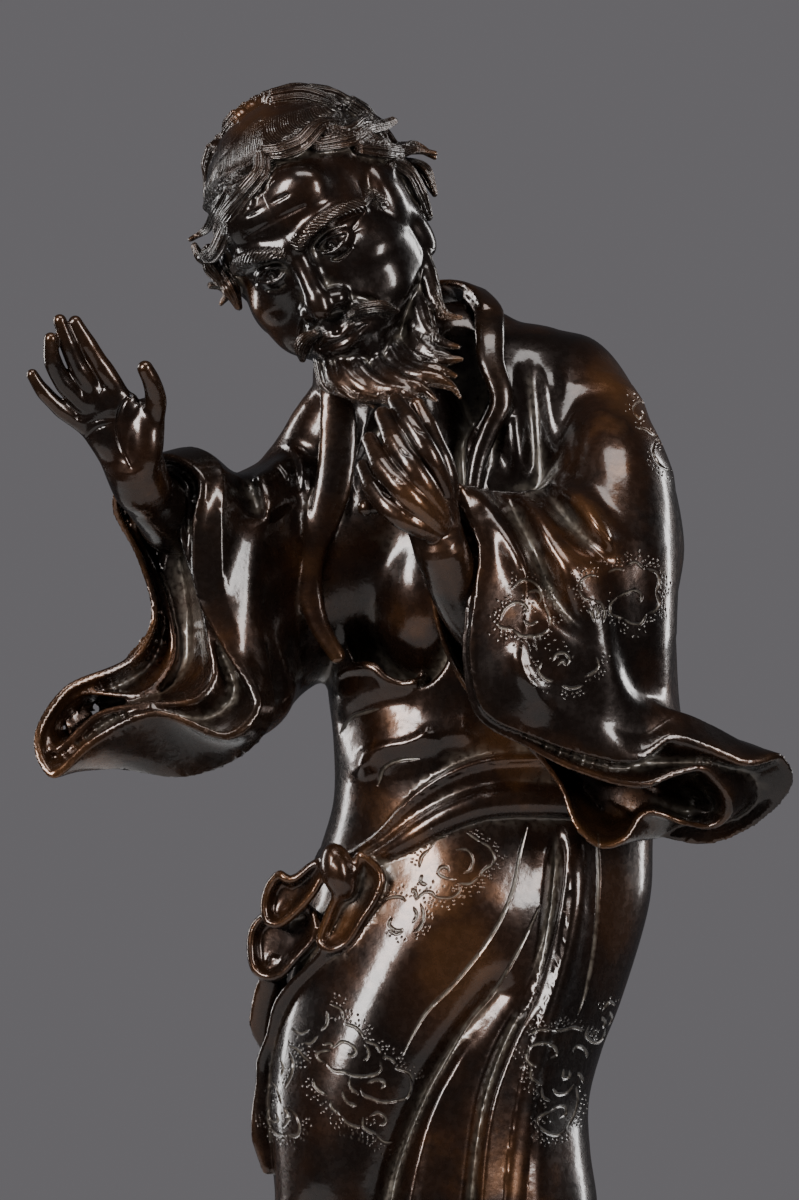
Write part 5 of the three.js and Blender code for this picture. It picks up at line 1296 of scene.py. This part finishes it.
def flat_normals(points, faces):
    """Vertex normals from the faces round them."""
    a, b, c = (points[faces[:, k]] for k in range(3))
    face = np.cross(b - a, c - a)
    total = np.zeros(points.shape)
    for k in range(3):
        for axis in range(3):
            total[:, axis] += np.bincount(faces[:, k], face[:, axis], len(points))
    return unit(total)


def crowding(clay, points, reach_mm):
    """How solid each point's neighbourhood is: half on a flat surface, more in a hollow, less on an edge."""
    solid = (clay.field[::CROWD_STRIDE, ::CROWD_STRIDE, ::CROWD_STRIDE] < 0).astype(np.float32)
    reach = max(1, round(reach_mm / (clay.voxel * CROWD_STRIDE)))
    for _ in range(2):
        for axis in range(3):
            pad = [(0, 0)] * 3
            pad[axis] = (reach + 1, reach)
            total = np.cumsum(np.pad(solid, pad), axis=axis, dtype=np.float32)
            size = solid.shape[axis]
            after = [slice(None)] * 3
            before = [slice(None)] * 3
            after[axis] = slice(2 * reach + 1, 2 * reach + 1 + size)
            before[axis] = slice(0, size)
            solid = (total[tuple(after)] - total[tuple(before)]) / (2 * reach + 1)
    return read_grid(solid, (points / clay.voxel - clay.first) / CROWD_STRIDE)


def hair_lines(clay, points):
    """How surely each point lies in combed hair, and which hair line it lies on."""
    known = np.concatenate(clay.hair)
    tree = kdtree.KDTree(len(known))
    for index, place in enumerate(known[:, :3].tolist()):
        tree.insert(place, index)
    tree.balance()
    found = [tree.find(place)[1:] for place in points.tolist()]
    index = np.array([item[0] for item in found])
    away = np.array([item[1] for item in found])
    strand = known[index, 3] + np.sum((points - known[index, :3]) * known[index, 4:7], axis=1)
    return (1 - smoothstep(away, HAIR_NEAR, HAIR_FAR)) * known[index, 7], strand


def crossed(clay, engraving, p, q):
    """Which edges from p to q are long enough to split, touch a stroke and show from the front."""
    middle = 0.5 * (p + q)
    length = np.linalg.norm(p - q, axis=1)
    close = engraving.touches(p) | engraving.touches(middle) | engraving.touches(q)
    rows = np.flatnonzero((length > LONG_EDGE) & ~close)
    for share in np.linspace(0.1, 0.9, 7):
        close[rows] |= engraving.touches(p[rows] * (1 - share) + q[rows] * share)
    rows = np.flatnonzero(close & (length > FINEST_EDGE))
    split = np.zeros(len(p), bool)
    split[rows] = clay.shown(middle[rows])
    return split


def pressed_in(clay, engraving, points, normals):
    """How deep each point is engraved, and how near it lies to a stroke."""
    near = engraving.read(engraving.near, points)
    rows = np.flatnonzero((near > 0.01) & (normals[:, 1] < -0.05))
    rows = rows[clay.shown(points[rows])]
    cut = np.zeros(len(points))
    close = np.zeros(len(points))
    cut[rows] = engraving.read(engraving.depth, points[rows])
    close[rows] = np.clip(near[rows] * 1.5, 0, 1)
    return cut, close


def clay_to_mesh(clay, target, engraving=None):
    """The clay's surface as a light mesh with its normals, wear and grime, engraved where asked."""
    points, faces = lightened(*clay.surface(), target)
    points = clay.settle(points)
    if engraving is not None:
        for _ in range(4):
            points, faces = split_edges(points, faces, lambda p, q: crossed(clay, engraving, p, q))
        points = clay.settle(points, 1)
    normals = clay.outward(points)
    cut = np.zeros(len(points))
    if engraving is not None:
        cut, close = pressed_in(clay, engraving, points, normals)
    fine = crowding(clay, points, CROWD_FINE)
    wide = crowding(clay, points, CROWD_WIDE)
    wear = np.clip((EDGE_FINE - fine) * FINE_GAIN, 0, 1)
    wear = wear + np.clip((EDGE_WIDE - wide) * WIDE_WEAR_GAIN, 0, WIDE_WEAR_MOST)
    grime = np.clip((fine - HOLLOW_FINE) * FINE_GAIN + (wide - HOLLOW_WIDE) * WIDE_GRIME_GAIN, 0, 1)
    grime = np.maximum(grime, np.clip(cut / STROKE_DEPTH, 0, 1))
    if engraving is not None:
        points = points - normals * cut[:, None]
        normals = unit(normals * (1 - close[:, None]) + flat_normals(points, faces) * close[:, None])
    made = {"points": points, "faces": faces, "normals": normals, "wear": wear, "grime": grime}
    if clay.hair:
        made["hair"], made["strand"] = hair_lines(clay, points)
    return made


# The head, in its own upright axes about the middle of the skull


def head_matrix():
    turns = [(HEAD_ROLL, "Y"), (HEAD_YAW, "Z"), (HEAD_PITCH, "X")]
    matrix = np.eye(3)
    for angle, axis in turns:
        matrix = matrix @ np.array(Matrix.Rotation(math.radians(angle), 3, axis))
    return matrix


def to_head(points):
    return (np.asarray(points, float) - HEAD_CENTRE) @ head_matrix()


def tilted(made):
    """The head's mesh carried from its own axes into the frame."""
    matrix = head_matrix()
    return dict(made, points=made["points"] @ matrix.T + HEAD_CENTRE, normals=made["normals"] @ matrix.T)


def on_cap(flat, lift=0.0):
    """Points of the picture plane, [x, z], carried back along the view onto the hair cap."""
    start = to_head([[x, 0, z] for x, z in flat])
    ahead = head_matrix().T @ np.array([0, 1, 0])
    centre, radii = np.array(CAP_MIDDLE, float), np.array(CAP_RADII, float)
    p, d = (start - centre) / radii, ahead / radii
    a, b, c = np.dot(d, d), p @ d, np.sum(p * p, axis=1) - 1
    reach = (-b - np.sqrt(np.maximum(b * b - a * c, 0))) / a
    points = start + ahead * reach[:, None]
    return centre + (points - centre) * (1 + lift / np.linalg.norm(points - centre, axis=1, keepdims=True))


def mirrored(path, side):
    return [[x * side, y, z] for x, y, z in path]


def skull(clay):
    clay.blobs(SKULL)
    clay.blobs(FACE_PAIRS, mirror=True)
    clay.blobs(FACE_HOLLOWS, take=True, mirror=True)


def ears(clay):
    clay.blobs(EAR_BLOBS, mirror=True)
    clay.rope(EAR_RIM, EAR_RIM_RADII, 1.2, mirror=True)
    clay.blob(*EAR_BOWL, take=True, mirror=True)


def eyelids(clay):
    """Lids as thicker shells round the eyeballs, with an almond opening."""
    eye_x, eye_y, eye_z = EYE_CENTRE
    low, high = [-eye_x - 12, eye_y - 12, eye_z - 10], [eye_x + 12, eye_y + 2, eye_z + 10]
    slices, (x, y, z) = clay.window(low, high)
    x, y, z = np.abs(x) - eye_x, y - eye_y, z - eye_z
    lid = np.sqrt(x * x + y * y + z * z) - EYE_RADIUS - LID_THICKNESS
    share = np.clip(x / EYE_HALF_WIDTH, -1, 1)
    upper = EYE_UPPER * (1 - share * share) ** 0.8 + 0.5 * share
    lower = -EYE_LOWER * (1 - share * share) ** 0.8 + 0.5 * share
    almond = np.maximum(np.maximum(z - upper, lower - z) * 0.85, np.abs(x) - EYE_HALF_WIDTH)
    lid = carved(np.maximum(lid, y), almond, 0.4)
    clay.mix(slices, lid.astype(np.float32), 0.9)


def eyes(clay):
    """Eyeballs and lids, with the iris as a ring and the pupil as a dot."""
    clay.blob(EYE_CENTRE, [EYE_RADIUS] * 3, 0.4, mirror=True)
    eyelids(clay)
    eye_x, eye_y, eye_z = EYE_CENTRE
    front = eye_y - EYE_RADIUS
    iris = [[eye_x + IRIS_RADIUS * math.cos(a), front + 0.45, eye_z + IRIS_RADIUS * math.sin(a)]
            for a in np.linspace(0, 2 * np.pi, 13)]
    clay.rope(iris, [0.3], 0.2, take=True, mirror=True, pieces=16)
    clay.blob([eye_x, front, eye_z], [PUPIL_RADIUS] * 3, 0.3, take=True, mirror=True)
    clay.ropes(LID_ROPES, mirror=True)
    clay.ropes(LID_FOLDS, take=True, mirror=True)


def mouth_and_nose(clay):
    clay.ropes(FACE_ROPES)
    clay.ropes(FACE_ROPE_PAIRS, mirror=True)
    clay.blobs(NOSE_PAIRS, mirror=True)
    clay.ropes(FACE_CUTS, take=True)
    clay.ropes(FACE_CUT_PAIRS, take=True, mirror=True)
    clay.blob(*NOSTRIL, take=True, mirror=True)


# Hair: ropes and sheets of strands, with notes on how their fine lines run


def noted(clay, points, phases, gradients, strength=1.0):
    """Notes how fine hair lines run: points, the line count at each, the way that it grows, and how clear."""
    strong = np.broadcast_to(strength, len(points))[:, None]
    clay.hair.append(np.concatenate([points, np.reshape(phases, (-1, 1)), gradients, strong], axis=1))


def note_sheet(clay, sheet, across, phases, lines, least):
    """Hair lines along a sheet of strands. Across is the way from strand to strand. Its square counts as at
    least so much, which keeps the lines apart where the strands run together."""
    along = unit(np.gradient(sheet, axis=1))
    across = across - along * np.sum(across * along, axis=-1, keepdims=True)
    gradient = across / np.maximum(np.sum(across * across, axis=-1, keepdims=True), least) * lines
    phase = np.repeat(phases[:, None], sheet.shape[1], axis=1)
    noted(clay, sheet.reshape(-1, 3), phase, gradient.reshape(-1, 3))


def combed(clay, first, last, count, radius, lines):
    """Strands combed from one guide to the next, both given as pixels of the photograph's frame."""
    first, last = (spaced(on_plane(pixels), 9) for pixels in (first, last))
    for n in range(count):
        share = n / (count - 1)
        flat = first * (1 - share) + last * share
        swell = [0.4 * radius, radius, radius, 0.5 * radius]
        clay.rope(on_cap(flat, -0.5 * radius), swell, 1.2, pieces=14)
    shares = np.linspace(0, 1, 4 * count)
    sheet = np.array([on_cap(spaced(first * (1 - share) + last * share, 40), 0.8) for share in shares])
    note_sheet(clay, sheet, np.gradient(sheet, shares, axis=0), shares * lines, lines, 4.0)


def lock_axes(path, widths, count):
    """Stations along a lock: places, half widths, and the ways across it and out of the head."""
    places = spaced(path, count)
    ahead = unit(np.gradient(places, axis=0))
    out = unit(places - LOCK_MIDDLE)
    side = unit(np.cross(ahead, out))
    return places, spread(widths, count), side, np.cross(side, ahead)


def fluted(clay, path, widths, strands, radius, flat=0.75):
    """A lock of hair: a slim body with strands side by side along its front."""
    widths = np.asarray(widths, float)
    places, wide, side, up = lock_axes(path, widths, 16)
    clay.rope(places, list(wide * flat), 1.2, pieces=14)
    thick = np.clip(wide / widths.max(), 0.3, 1) * radius
    for n in range(strands):
        angle = math.radians(-80 + 160 * n / max(strands - 1, 1))
        strand = places + side * (math.sin(angle) * wide)[:, None] * 0.95
        strand = strand + up * (wide * math.cos(angle) * flat)[:, None]
        clay.rope(strand, list(thick), 0.9, pieces=16)
    note_round(clay, path, widths, flat)


def note_round(clay, path, widths, flat):
    """Fine lines along a lock, evenly spaced round its front half; they fade where they'd run together."""
    places, wide, side, up = lock_axes(path, widths, 40)
    per_radian = LINES_PER_MM * widths.max()
    clear = smoothstep(wide / widths.max(), 0.3, 0.65)
    for angle in np.radians(np.arange(-110, 111, 11)):
        away = side * math.sin(angle) + up * math.cos(angle) * (0.4 + 0.6 * flat)
        turn = side * math.cos(angle) - up * math.sin(angle)
        points = places + away * (wide + 0.3)[:, None]
        phases = np.full(len(wide), per_radian * angle)
        noted(clay, points, phases, turn * (per_radian / wide)[:, None], clear)


def brows(clay):
    """Tapering brow ridges, with slanted hair lines."""
    for side in (-1, 1):
        line = spaced(mirrored(BROW_LINE, side), 30)
        y = clay.front(line[:, 0], line[:, 2])
        line = np.stack([line[:, 0], y + 0.2, line[:, 2]], axis=1)
        for level in BROW_LEVELS:
            clay.rope(line + [0, 0, level], BROW_RADII, 1.0, pieces=20)
        ahead = unit(np.gradient(line, axis=0))
        run = np.linspace(0, 1, 30) * BROW_LINES
        gradient = ahead * BROW_LINES / BROW_LENGTH + np.array([0, 0, 1]) * BROW_SLANT
        for level in np.linspace(-2.6, 2.6, 9):
            noted(clay, line + [0, -1.6, level], run + BROW_SLANT * level, gradient)


def moustache(clay):
    for side in (-1, 1):
        fluted(clay, mirrored(MOUSTACHE, side), MOUSTACHE_WIDTHS, 5, 0.6, flat=0.6)


def beard(clay):
    """Locks that share one sheet of strands at the jaw and part towards their tips."""
    clay.rope(to_head(BEARD_ROOT[0]), BEARD_ROOT[1], 3)
    steps = 26
    parting = smoothstep(np.linspace(0, 1, steps), 0.35, 0.95)
    flows = [spaced(to_head(path), steps) for path, _ in BEARD]
    widths = [spread(wide, steps) for _, wide in BEARD]
    for places, wide in zip(flows, widths):
        clay.rope(places, list(wide * 0.8), 1.2, pieces=20)
    sheet = []
    for n in range(BEARD_STRANDS * (len(BEARD) - 1) + 1):
        first = min(n // BEARD_STRANDS, len(BEARD) - 2)
        share = n / BEARD_STRANDS - first
        drawn = share + (round(share) - share) * parting
        places = flows[first] * (1 - drawn)[:, None] + flows[first + 1] * drawn[:, None]
        wide = widths[first] * (1 - drawn) + widths[first + 1] * drawn
        out = unit(places - LOCK_MIDDLE)
        ahead = unit(np.gradient(places, axis=0))
        out = unit(out - ahead * np.sum(out * ahead, axis=1, keepdims=True))
        sideways = np.cross(ahead, out) * ((share - round(share)) * wide * parting * 0.9)[:, None]
        strand = places + sideways + out * (wide * 0.72)[:, None]
        clay.rope(strand, list(np.clip(wide / 4.0, 0.35, 1) * BEARD_STRAND_RADIUS), 0.5, pieces=20)
        sheet.append(strand)
    sheet = np.array(sheet)
    across = np.gradient(sheet, axis=0) * BEARD_STRANDS / BEARD_LINES
    phases = np.arange(len(sheet)) * BEARD_LINES / BEARD_STRANDS + 0.5
    note_sheet(clay, sheet, across, phases, 1, 0.09)


def on_crown(angle, z, least):
    """A point on the hair cap at an angle and a height, at least a share of its radii from its axis."""
    rise = (z - CAP_MIDDLE[2]) / CAP_RADII[2]
    share = max(math.sqrt(max(0.05, 1 - rise**2)), least)
    return [CAP_MIDDLE[0] + math.cos(angle) * CAP_RADII[0] * share,
            CAP_MIDDLE[1] + math.sin(angle) * CAP_RADII[1] * share, z]


def cap_locks(clay):
    """Plainer locks in rows round the crown, the sides and the back, which the photograph doesn't show."""
    chance = np.random.default_rng(3)
    for row, (top, drop, count) in enumerate(CAP_ROWS):
        low = top < CAP_MIDDLE[2] + 5
        for n in range(count):
            angle = math.radians(CAP_START + CAP_SPAN * (n + 0.5 * (row % 2)) / count)
            curl = chance.uniform(-0.10, 0.10) + 0.12 * (1 if n % 2 else -1)
            path = [on_crown(angle + curl * share, top - drop * share, 0.78 - 0.1 * share if low else 0)
                    for share in (0, 0.33, 0.66, 1.0)]
            path[-1] = list(np.array(path[-1]) + np.array([math.cos(angle), math.sin(angle), 0]) * 1.5)
            fluted(clay, path, CAP_WIDTHS, 4, 1.0)


def head_clay():
    clay = Clay(HEAD_LOW, HEAD_HIGH, HEAD_VOXEL, HEAD_REACH)
    skull(clay)
    ears(clay)
    eyes(clay)
    mouth_and_nose(clay)
    clay.blob(CAP_MIDDLE, CAP_RADII, 1.0)
    clay.blob(*SIDE_HAIR, mirror=True)
    cap_locks(clay)
    for group in COMBED_GROUPS:
        combed(clay, *group)
    for path, widths in FRINGE:
        fluted(clay, path, widths, 4, 0.9)
    for pixels, widths, lift in EXTRA_LOCKS:
        fluted(clay, on_cap(on_plane(pixels), lift), widths, 3, 0.8)
    brows(clay)
    moustache(clay)
    beard(clay)
    neck = to_head(smooth(NECK[0], np.linspace(0, 1, 8)))
    clay.rope(neck, list(spread(NECK[1], 8)), 4)
    return clay


# Hands


def finger(clay, path, radius, taper, knuckles, blend):
    """A finger with slight knuckles, which are shares of its length."""
    thick = radius * spread(taper, 25)
    for share in knuckles:
        thick = thick + 0.22 * np.exp(-(((np.linspace(0, 1, 25) - share) / 0.07) ** 2))
    clay.rope(spaced(path, 25), list(thick), blend, pieces=24)


def crease(clay, pixels, radius, depth=0.35):
    """A fine line pressed into the hand where it faces the front."""
    fine = smooth(on_plane(pixels), np.linspace(0, 1, 12))
    y = clay.front(fine[:, 0], fine[:, 1])
    places = np.stack([fine[:, 0], y + radius - depth - 0.5 * radius, fine[:, 1]], axis=1)
    clay.rope(places, [0.4 * radius, radius, radius, 0.4 * radius], 0.4, take=True, pieces=16)


def right_hand_clay():
    clay = Clay(*RIGHT_HAND_GRID, HAND_VOXEL, HAND_REACH)
    clay.add(tube(*RIGHT_ARM, sides=64), 0.1)
    clay.add(tube(*RIGHT_PALM, sides=48, steps=30), 4)
    *fingers, thumb = RIGHT_FINGERS
    for path, radius in fingers:
        finger(clay, path, radius, RIGHT_TAPER, [0.52, 0.78], 1.8)
    finger(clay, *thumb, RIGHT_TAPER, [0.62], 1.8)
    for centre, radii, blend, turn in RIGHT_MOUNDS:
        clay.blob(centre, radii, blend, turn=turn)
    for pixels in PALM_LINES:
        crease(clay, pixels, 0.45)
    crease(clay, THENAR_LINE, 0.9, 0.6)
    return clay


def left_hand_clay():
    clay = Clay(*LEFT_HAND_GRID, HAND_VOXEL, HAND_REACH)
    clay.add(tube(*LEFT_ARM, sides=64), 0.1)
    clay.add(tube(*LEFT_PALM, sides=48, steps=30), 3)
    for path, radius in LEFT_FINGERS:
        finger(clay, path, radius * 0.97, LEFT_TAPER, [0.25, 0.6], 0.9)
    clay.rope(PIN, [PIN_RADIUS], 0.4, pieces=8)
    clay.blob(PIN[0], [PIN_BALL] * 3, 0.4)
    for pixels in KNUCKLE_LINES:
        crease(clay, pixels, 0.55)
    return clay


# The base: a smooth turned oval


def band(heights, middle, width):
    """A soft band round the base, 1 at its middle height; heights are shares of the base's height."""
    return np.exp(-(((heights - middle) / width) ** 2))


def base_mesh(sides=360):
    keys = np.array([[r * BASE_RADIUS, z * BASE_HEIGHT] for r, z in BASE_PROFILE])
    angles = 2 * np.pi * np.arange(sides) / sides
    profile = [keys[0]]
    for start, finish in zip(keys[:-1], keys[1:]):
        count = 2 + int(np.linalg.norm(finish - start) / 2.5)
        profile += [start + (finish - start) * share for share in np.linspace(0, 1, count)[1:]]
    rings = np.array([[[r * math.cos(a), r * math.sin(a) * BASE_DEPTH_SHARE, z] for a in angles]
                      for r, z in profile[1:-1]])
    points, faces = skin(rings)
    height = points[:, 2] / BASE_HEIGHT
    wear = band(height, 0.97, 0.05) * 0.6 + band(height, 0.28, 0.04) * 0.4
    grime = band(height, 0.5, 0.14) * 0.7
    return {"points": points, "faces": faces, "normals": None, "wear": wear, "grime": grime}


# Pieces and their bronze


def to_scene(name, data):
    made = bpy.data.objects.new(name, data)
    bpy.context.scene.collection.objects.link(made)
    return made


def to_object(name, made):
    """The piece as an object at the origin, its mesh in metres, with wear, grime and hair on its points."""
    mesh = bpy.data.meshes.new(name)
    mesh.from_pydata((made["points"] * MM).tolist(), [], made["faces"].tolist())
    mesh.polygons.foreach_set("use_smooth", np.ones(len(mesh.polygons), bool))
    for key in [key for key in ("wear", "grime", "hair", "strand") if key in made]:
        layer = mesh.attributes.new(key, "FLOAT", "POINT")
        layer.data.foreach_set("value", made[key].astype(np.float32))
    if made["normals"] is not None:
        mesh.normals_split_custom_set_from_vertices(made["normals"].tolist())
    return to_scene(name, mesh)


class Nodes:
    """A short way to write a node tree."""

    def __init__(self, tree):
        self.tree = tree
        tree.nodes.clear()

    def make(self, kind, inputs=None, **settings):
        node = self.tree.nodes.new(kind)
        for key, value in settings.items():
            setattr(node, key, value)
        for key, value in (inputs or {}).items():
            if isinstance(value, bpy.types.NodeSocket):
                self.tree.links.new(value, node.inputs[key])
            else:
                node.inputs[key].default_value = value
        return node

    def math(self, operation, a, b=0.0, clamp=False):
        return self.make("ShaderNodeMath", {0: a, 1: b}, operation=operation, use_clamp=clamp).outputs[0]

    def times(self, a, b, clamp=False):
        return self.math("MULTIPLY", a, b, clamp)

    def spread(self, value, low, high, start=0.0, finish=1.0):
        return self.make("ShaderNodeMapRange", {0: value, 1: low, 2: high, 3: start, 4: finish}).outputs[0]

    def mix(self, share, a, b):
        return self.make("ShaderNodeMix", {0: share, 6: a, 7: b}, data_type="RGBA").outputs[2]

    def vector(self, operation, *values):
        return self.make("ShaderNodeVectorMath", dict(enumerate(values)), operation=operation)

    def noise(self, place, scale, detail, rough):
        inputs = {"Vector": place, "Scale": scale, "Detail": detail, "Roughness": rough}
        return self.make("ShaderNodeTexNoise", inputs).outputs[0]

    def attribute(self, name):
        return self.make("ShaderNodeAttribute", attribute_name=name).outputs["Fac"]


def hair_relief(nodes):
    """Fine hair lines: the ridges' height, and the grooves between them."""
    hair = nodes.attribute("hair")
    strand = nodes.math("FRACT", nodes.attribute("strand"))
    from_ridge = nodes.times(nodes.math("ABSOLUTE", nodes.math("SUBTRACT", strand, 0.5)), 2.0)
    height = nodes.math("SUBTRACT", 1.0, nodes.math("POWER", from_ridge, 2.5))
    groove = nodes.times(nodes.spread(from_ridge, 0.6, 1.0), hair)
    return nodes.times(height, hair), groove


def golden_tone_and_sheen(nodes, place, clouds):
    """How golden brown the skin is: in clouds of random tone, and in patches of painted warm sheen where the
    lamps light broad convex places.
    """
    tone_and_sheen_share = nodes.spread(clouds, 0.47, 0.72)
    ragged = nodes.times(nodes.math("SUBTRACT", clouds, 0.5), 1.6)
    for middle, radii, strength in PAINTED_SHEEN_PATCHES:
        inverse = tuple(1 / radius for radius in radii)
        shifted = nodes.vector("SUBTRACT", place, middle).outputs[0]
        scaled = nodes.vector("MULTIPLY", shifted, inverse).outputs[0]
        away = nodes.math("ADD", nodes.vector("LENGTH", scaled).outputs[1], ragged)
        tone_and_sheen_share = nodes.math("MAXIMUM", tone_and_sheen_share, nodes.spread(away, 1.15, 0.35, 0.0, strength))
    return tone_and_sheen_share


def bronze(name, look):
    """Brown lacquered bronze: dark skin, painted warm sheen in golden brown patches, rubbed ridges, grey
    residue in hollows, a thin clear wax on top.
    """
    material = bpy.data.materials.new(name)
    material.use_nodes = True
    nodes = Nodes(material.node_tree)
    place = nodes.make("ShaderNodeTexCoord").outputs["Object"]
    wear = nodes.attribute("wear")
    grime = nodes.attribute("grime")
    clouds, patches, grain, specks, waves = (nodes.noise(place, *noise) for noise in (
        CLOUD_NOISE, PATCH_NOISE, GRAIN_NOISE, SPECK_NOISE, WAVE_NOISE))

    # Golden brown tone: random clouds of tone, and painted warm sheen in patches where the lamps light broad
    # convex places
    tone_and_sheen_share = golden_tone_and_sheen(nodes, place, clouds)
    skin_colour = nodes.mix(tone_and_sheen_share, look["dark"], look["brown"])
    mottled = nodes.spread(patches, 0.5, 0.72, 0.0, 0.6)
    skin_colour = nodes.mix(mottled, skin_colour, look["dark"])
    # Painted warm sheen: where that share is strongest the colour turns gold
    glow = nodes.times(nodes.spread(tone_and_sheen_share, 0.45, 1.0), 0.55)
    skin_colour = nodes.mix(glow, skin_colour, look["gold"])
    rubbed = nodes.times(wear, nodes.spread(patches, 0.36, 0.64, 0.1, 1.3))
    rubbed = nodes.times(rubbed, nodes.spread(clouds, 0.36, 0.6, 0.35, 1.2))
    rubbed = nodes.times(rubbed, look["rub"], clamp=True)
    colour = nodes.mix(rubbed, skin_colour, look["gold"])
    if look["haired"]:
        ridges, groove = hair_relief(nodes)
        grime = nodes.math("MAXIMUM", grime, nodes.times(groove, 0.6))
    spotted = nodes.spread(grain, 0.35, 0.68, 0.3, 1.15)
    dirty = nodes.times(nodes.times(grime, spotted), look["dirt"], clamp=True)
    colour = nodes.mix(dirty, colour, look["residue"])

    rough = nodes.spread(grain, 0.3, 0.7, look["rough"] - 0.05, look["rough"] + 0.07)
    rough = nodes.math("ADD", rough, nodes.times(dirty, 0.3), clamp=True)
    metal = nodes.math("SUBTRACT", look["metal"], nodes.times(dirty, 0.4), clamp=True)

    height = nodes.math("ADD", nodes.times(waves, 1.2), nodes.times(grain, 0.22))
    height = nodes.math("ADD", height, nodes.times(specks, 0.04))
    relief = {"Strength": BUMP_STRENGTH, "Distance": BUMP_DEPTH, "Height": height}
    if look["haired"]:
        lines = {"Strength": HAIR_STRENGTH, "Distance": BUMP_DEPTH, "Height": ridges}
        relief["Normal"] = nodes.make("ShaderNodeBump", lines).outputs[0]
    bump = nodes.make("ShaderNodeBump", relief)

    shader = nodes.make("ShaderNodeBsdfPrincipled", {
        "Base Color": colour, "Metallic": metal, "Roughness": rough, "Normal": bump.outputs[0],
        "Coat Weight": look["coat"], "Coat Roughness": look["coat_rough"], "Coat Normal": bump.outputs[0]})
    nodes.make("ShaderNodeOutputMaterial", {"Surface": shader.outputs[0]})
    return material


def plain(name, colour, rough):
    material = bpy.data.materials.new(name)
    material.use_nodes = True
    nodes = Nodes(material.node_tree)
    shader = nodes.make("ShaderNodeBsdfPrincipled", {"Base Color": colour, "Roughness": rough})
    nodes.make("ShaderNodeOutputMaterial", {"Surface": shader.outputs[0]})
    return material


def dressed(name, made, look):
    """The finished piece, riding on the body and standing for its solid."""
    piece = to_object(name + "_bronze", made)
    piece.data.materials.append(bronze(name + "_finish", look))
    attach(piece, "root")
    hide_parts(name)


# Floor, light and camera


def floor_disc():
    mesh = bpy.data.meshes.new("floor")
    angles = [2 * math.pi * n / FLOOR_SIDES for n in range(FLOOR_SIDES)]
    rim = [(FLOOR_RADIUS * math.cos(a), FLOOR_RADIUS * math.sin(a), 0) for a in angles]
    mesh.from_pydata(rim, [], [tuple(range(FLOOR_SIDES))])
    mesh.materials.append(plain("floor_paper", FLOOR_COLOUR, FLOOR_ROUGH))
    to_scene("floor", mesh)


def softbox(name, place, target, size, power):
    light = bpy.data.lights.new(name, "AREA")
    light.shape = "RECTANGLE"
    light.size, light.size_y = size
    light.energy = power
    lamp = to_scene(name, light)
    lamp.location = place
    lamp.rotation_euler = (Vector(target) - Vector(place)).to_track_quat("-Z", "Y").to_euler()


def studio():
    world = bpy.data.worlds.new("grey")
    world.use_nodes = True
    nodes = Nodes(world.node_tree)
    seen = nodes.make("ShaderNodeLightPath").outputs["Is Camera Ray"]
    colour = nodes.mix(seen, ROOM_COLOUR, BACKDROP_COLOUR)
    back = nodes.make("ShaderNodeBackground", {"Color": colour, "Strength": 1.0})
    nodes.make("ShaderNodeOutputWorld", {"Surface": back.outputs[0]})
    bpy.context.scene.world = world
    for box in SOFTBOXES:
        softbox(*box)


def camera():
    """A level camera whose picture is the photograph's frame at the middle of the figure."""
    lens = bpy.data.cameras.new("camera")
    lens.sensor_fit = "VERTICAL"
    lens.sensor_height = SENSOR_HEIGHT
    height = PICTURE_HEIGHT * MM_PER_PIXEL * MM
    lens.lens = SENSOR_HEIGHT * CAMERA_DISTANCE / height
    lens.clip_end = CAMERA_REACH
    eye = to_scene("camera", lens)
    middle_x = (0.5 * PICTURE_WIDTH - COLUMN_OF_ZERO) * MM_PER_PIXEL * MM
    middle_z = (ROW_OF_ZERO - 0.5 * PICTURE_HEIGHT) * MM_PER_PIXEL * MM
    eye.location = (middle_x, -CAMERA_DISTANCE, middle_z)
    eye.rotation_euler = (math.radians(90), 0, 0)
    bpy.context.scene.camera = eye


def build():
    dressed("robe", clay_to_mesh(robe_clay(), ROBE_TARGET, robe_engraving()), BROWN)
    dressed("head", tilted(clay_to_mesh(head_clay(), HEAD_TARGET)), HEAD_BROWN)
    dressed("right_hand", clay_to_mesh(right_hand_clay(), HAND_TARGET), BROWN)
    dressed("left_hand", clay_to_mesh(left_hand_clay(), HAND_TARGET), LEFT_BROWN)
    dressed("base", base_mesh(), BASE_BROWN)


studio()
floor_disc()
camera()
build()
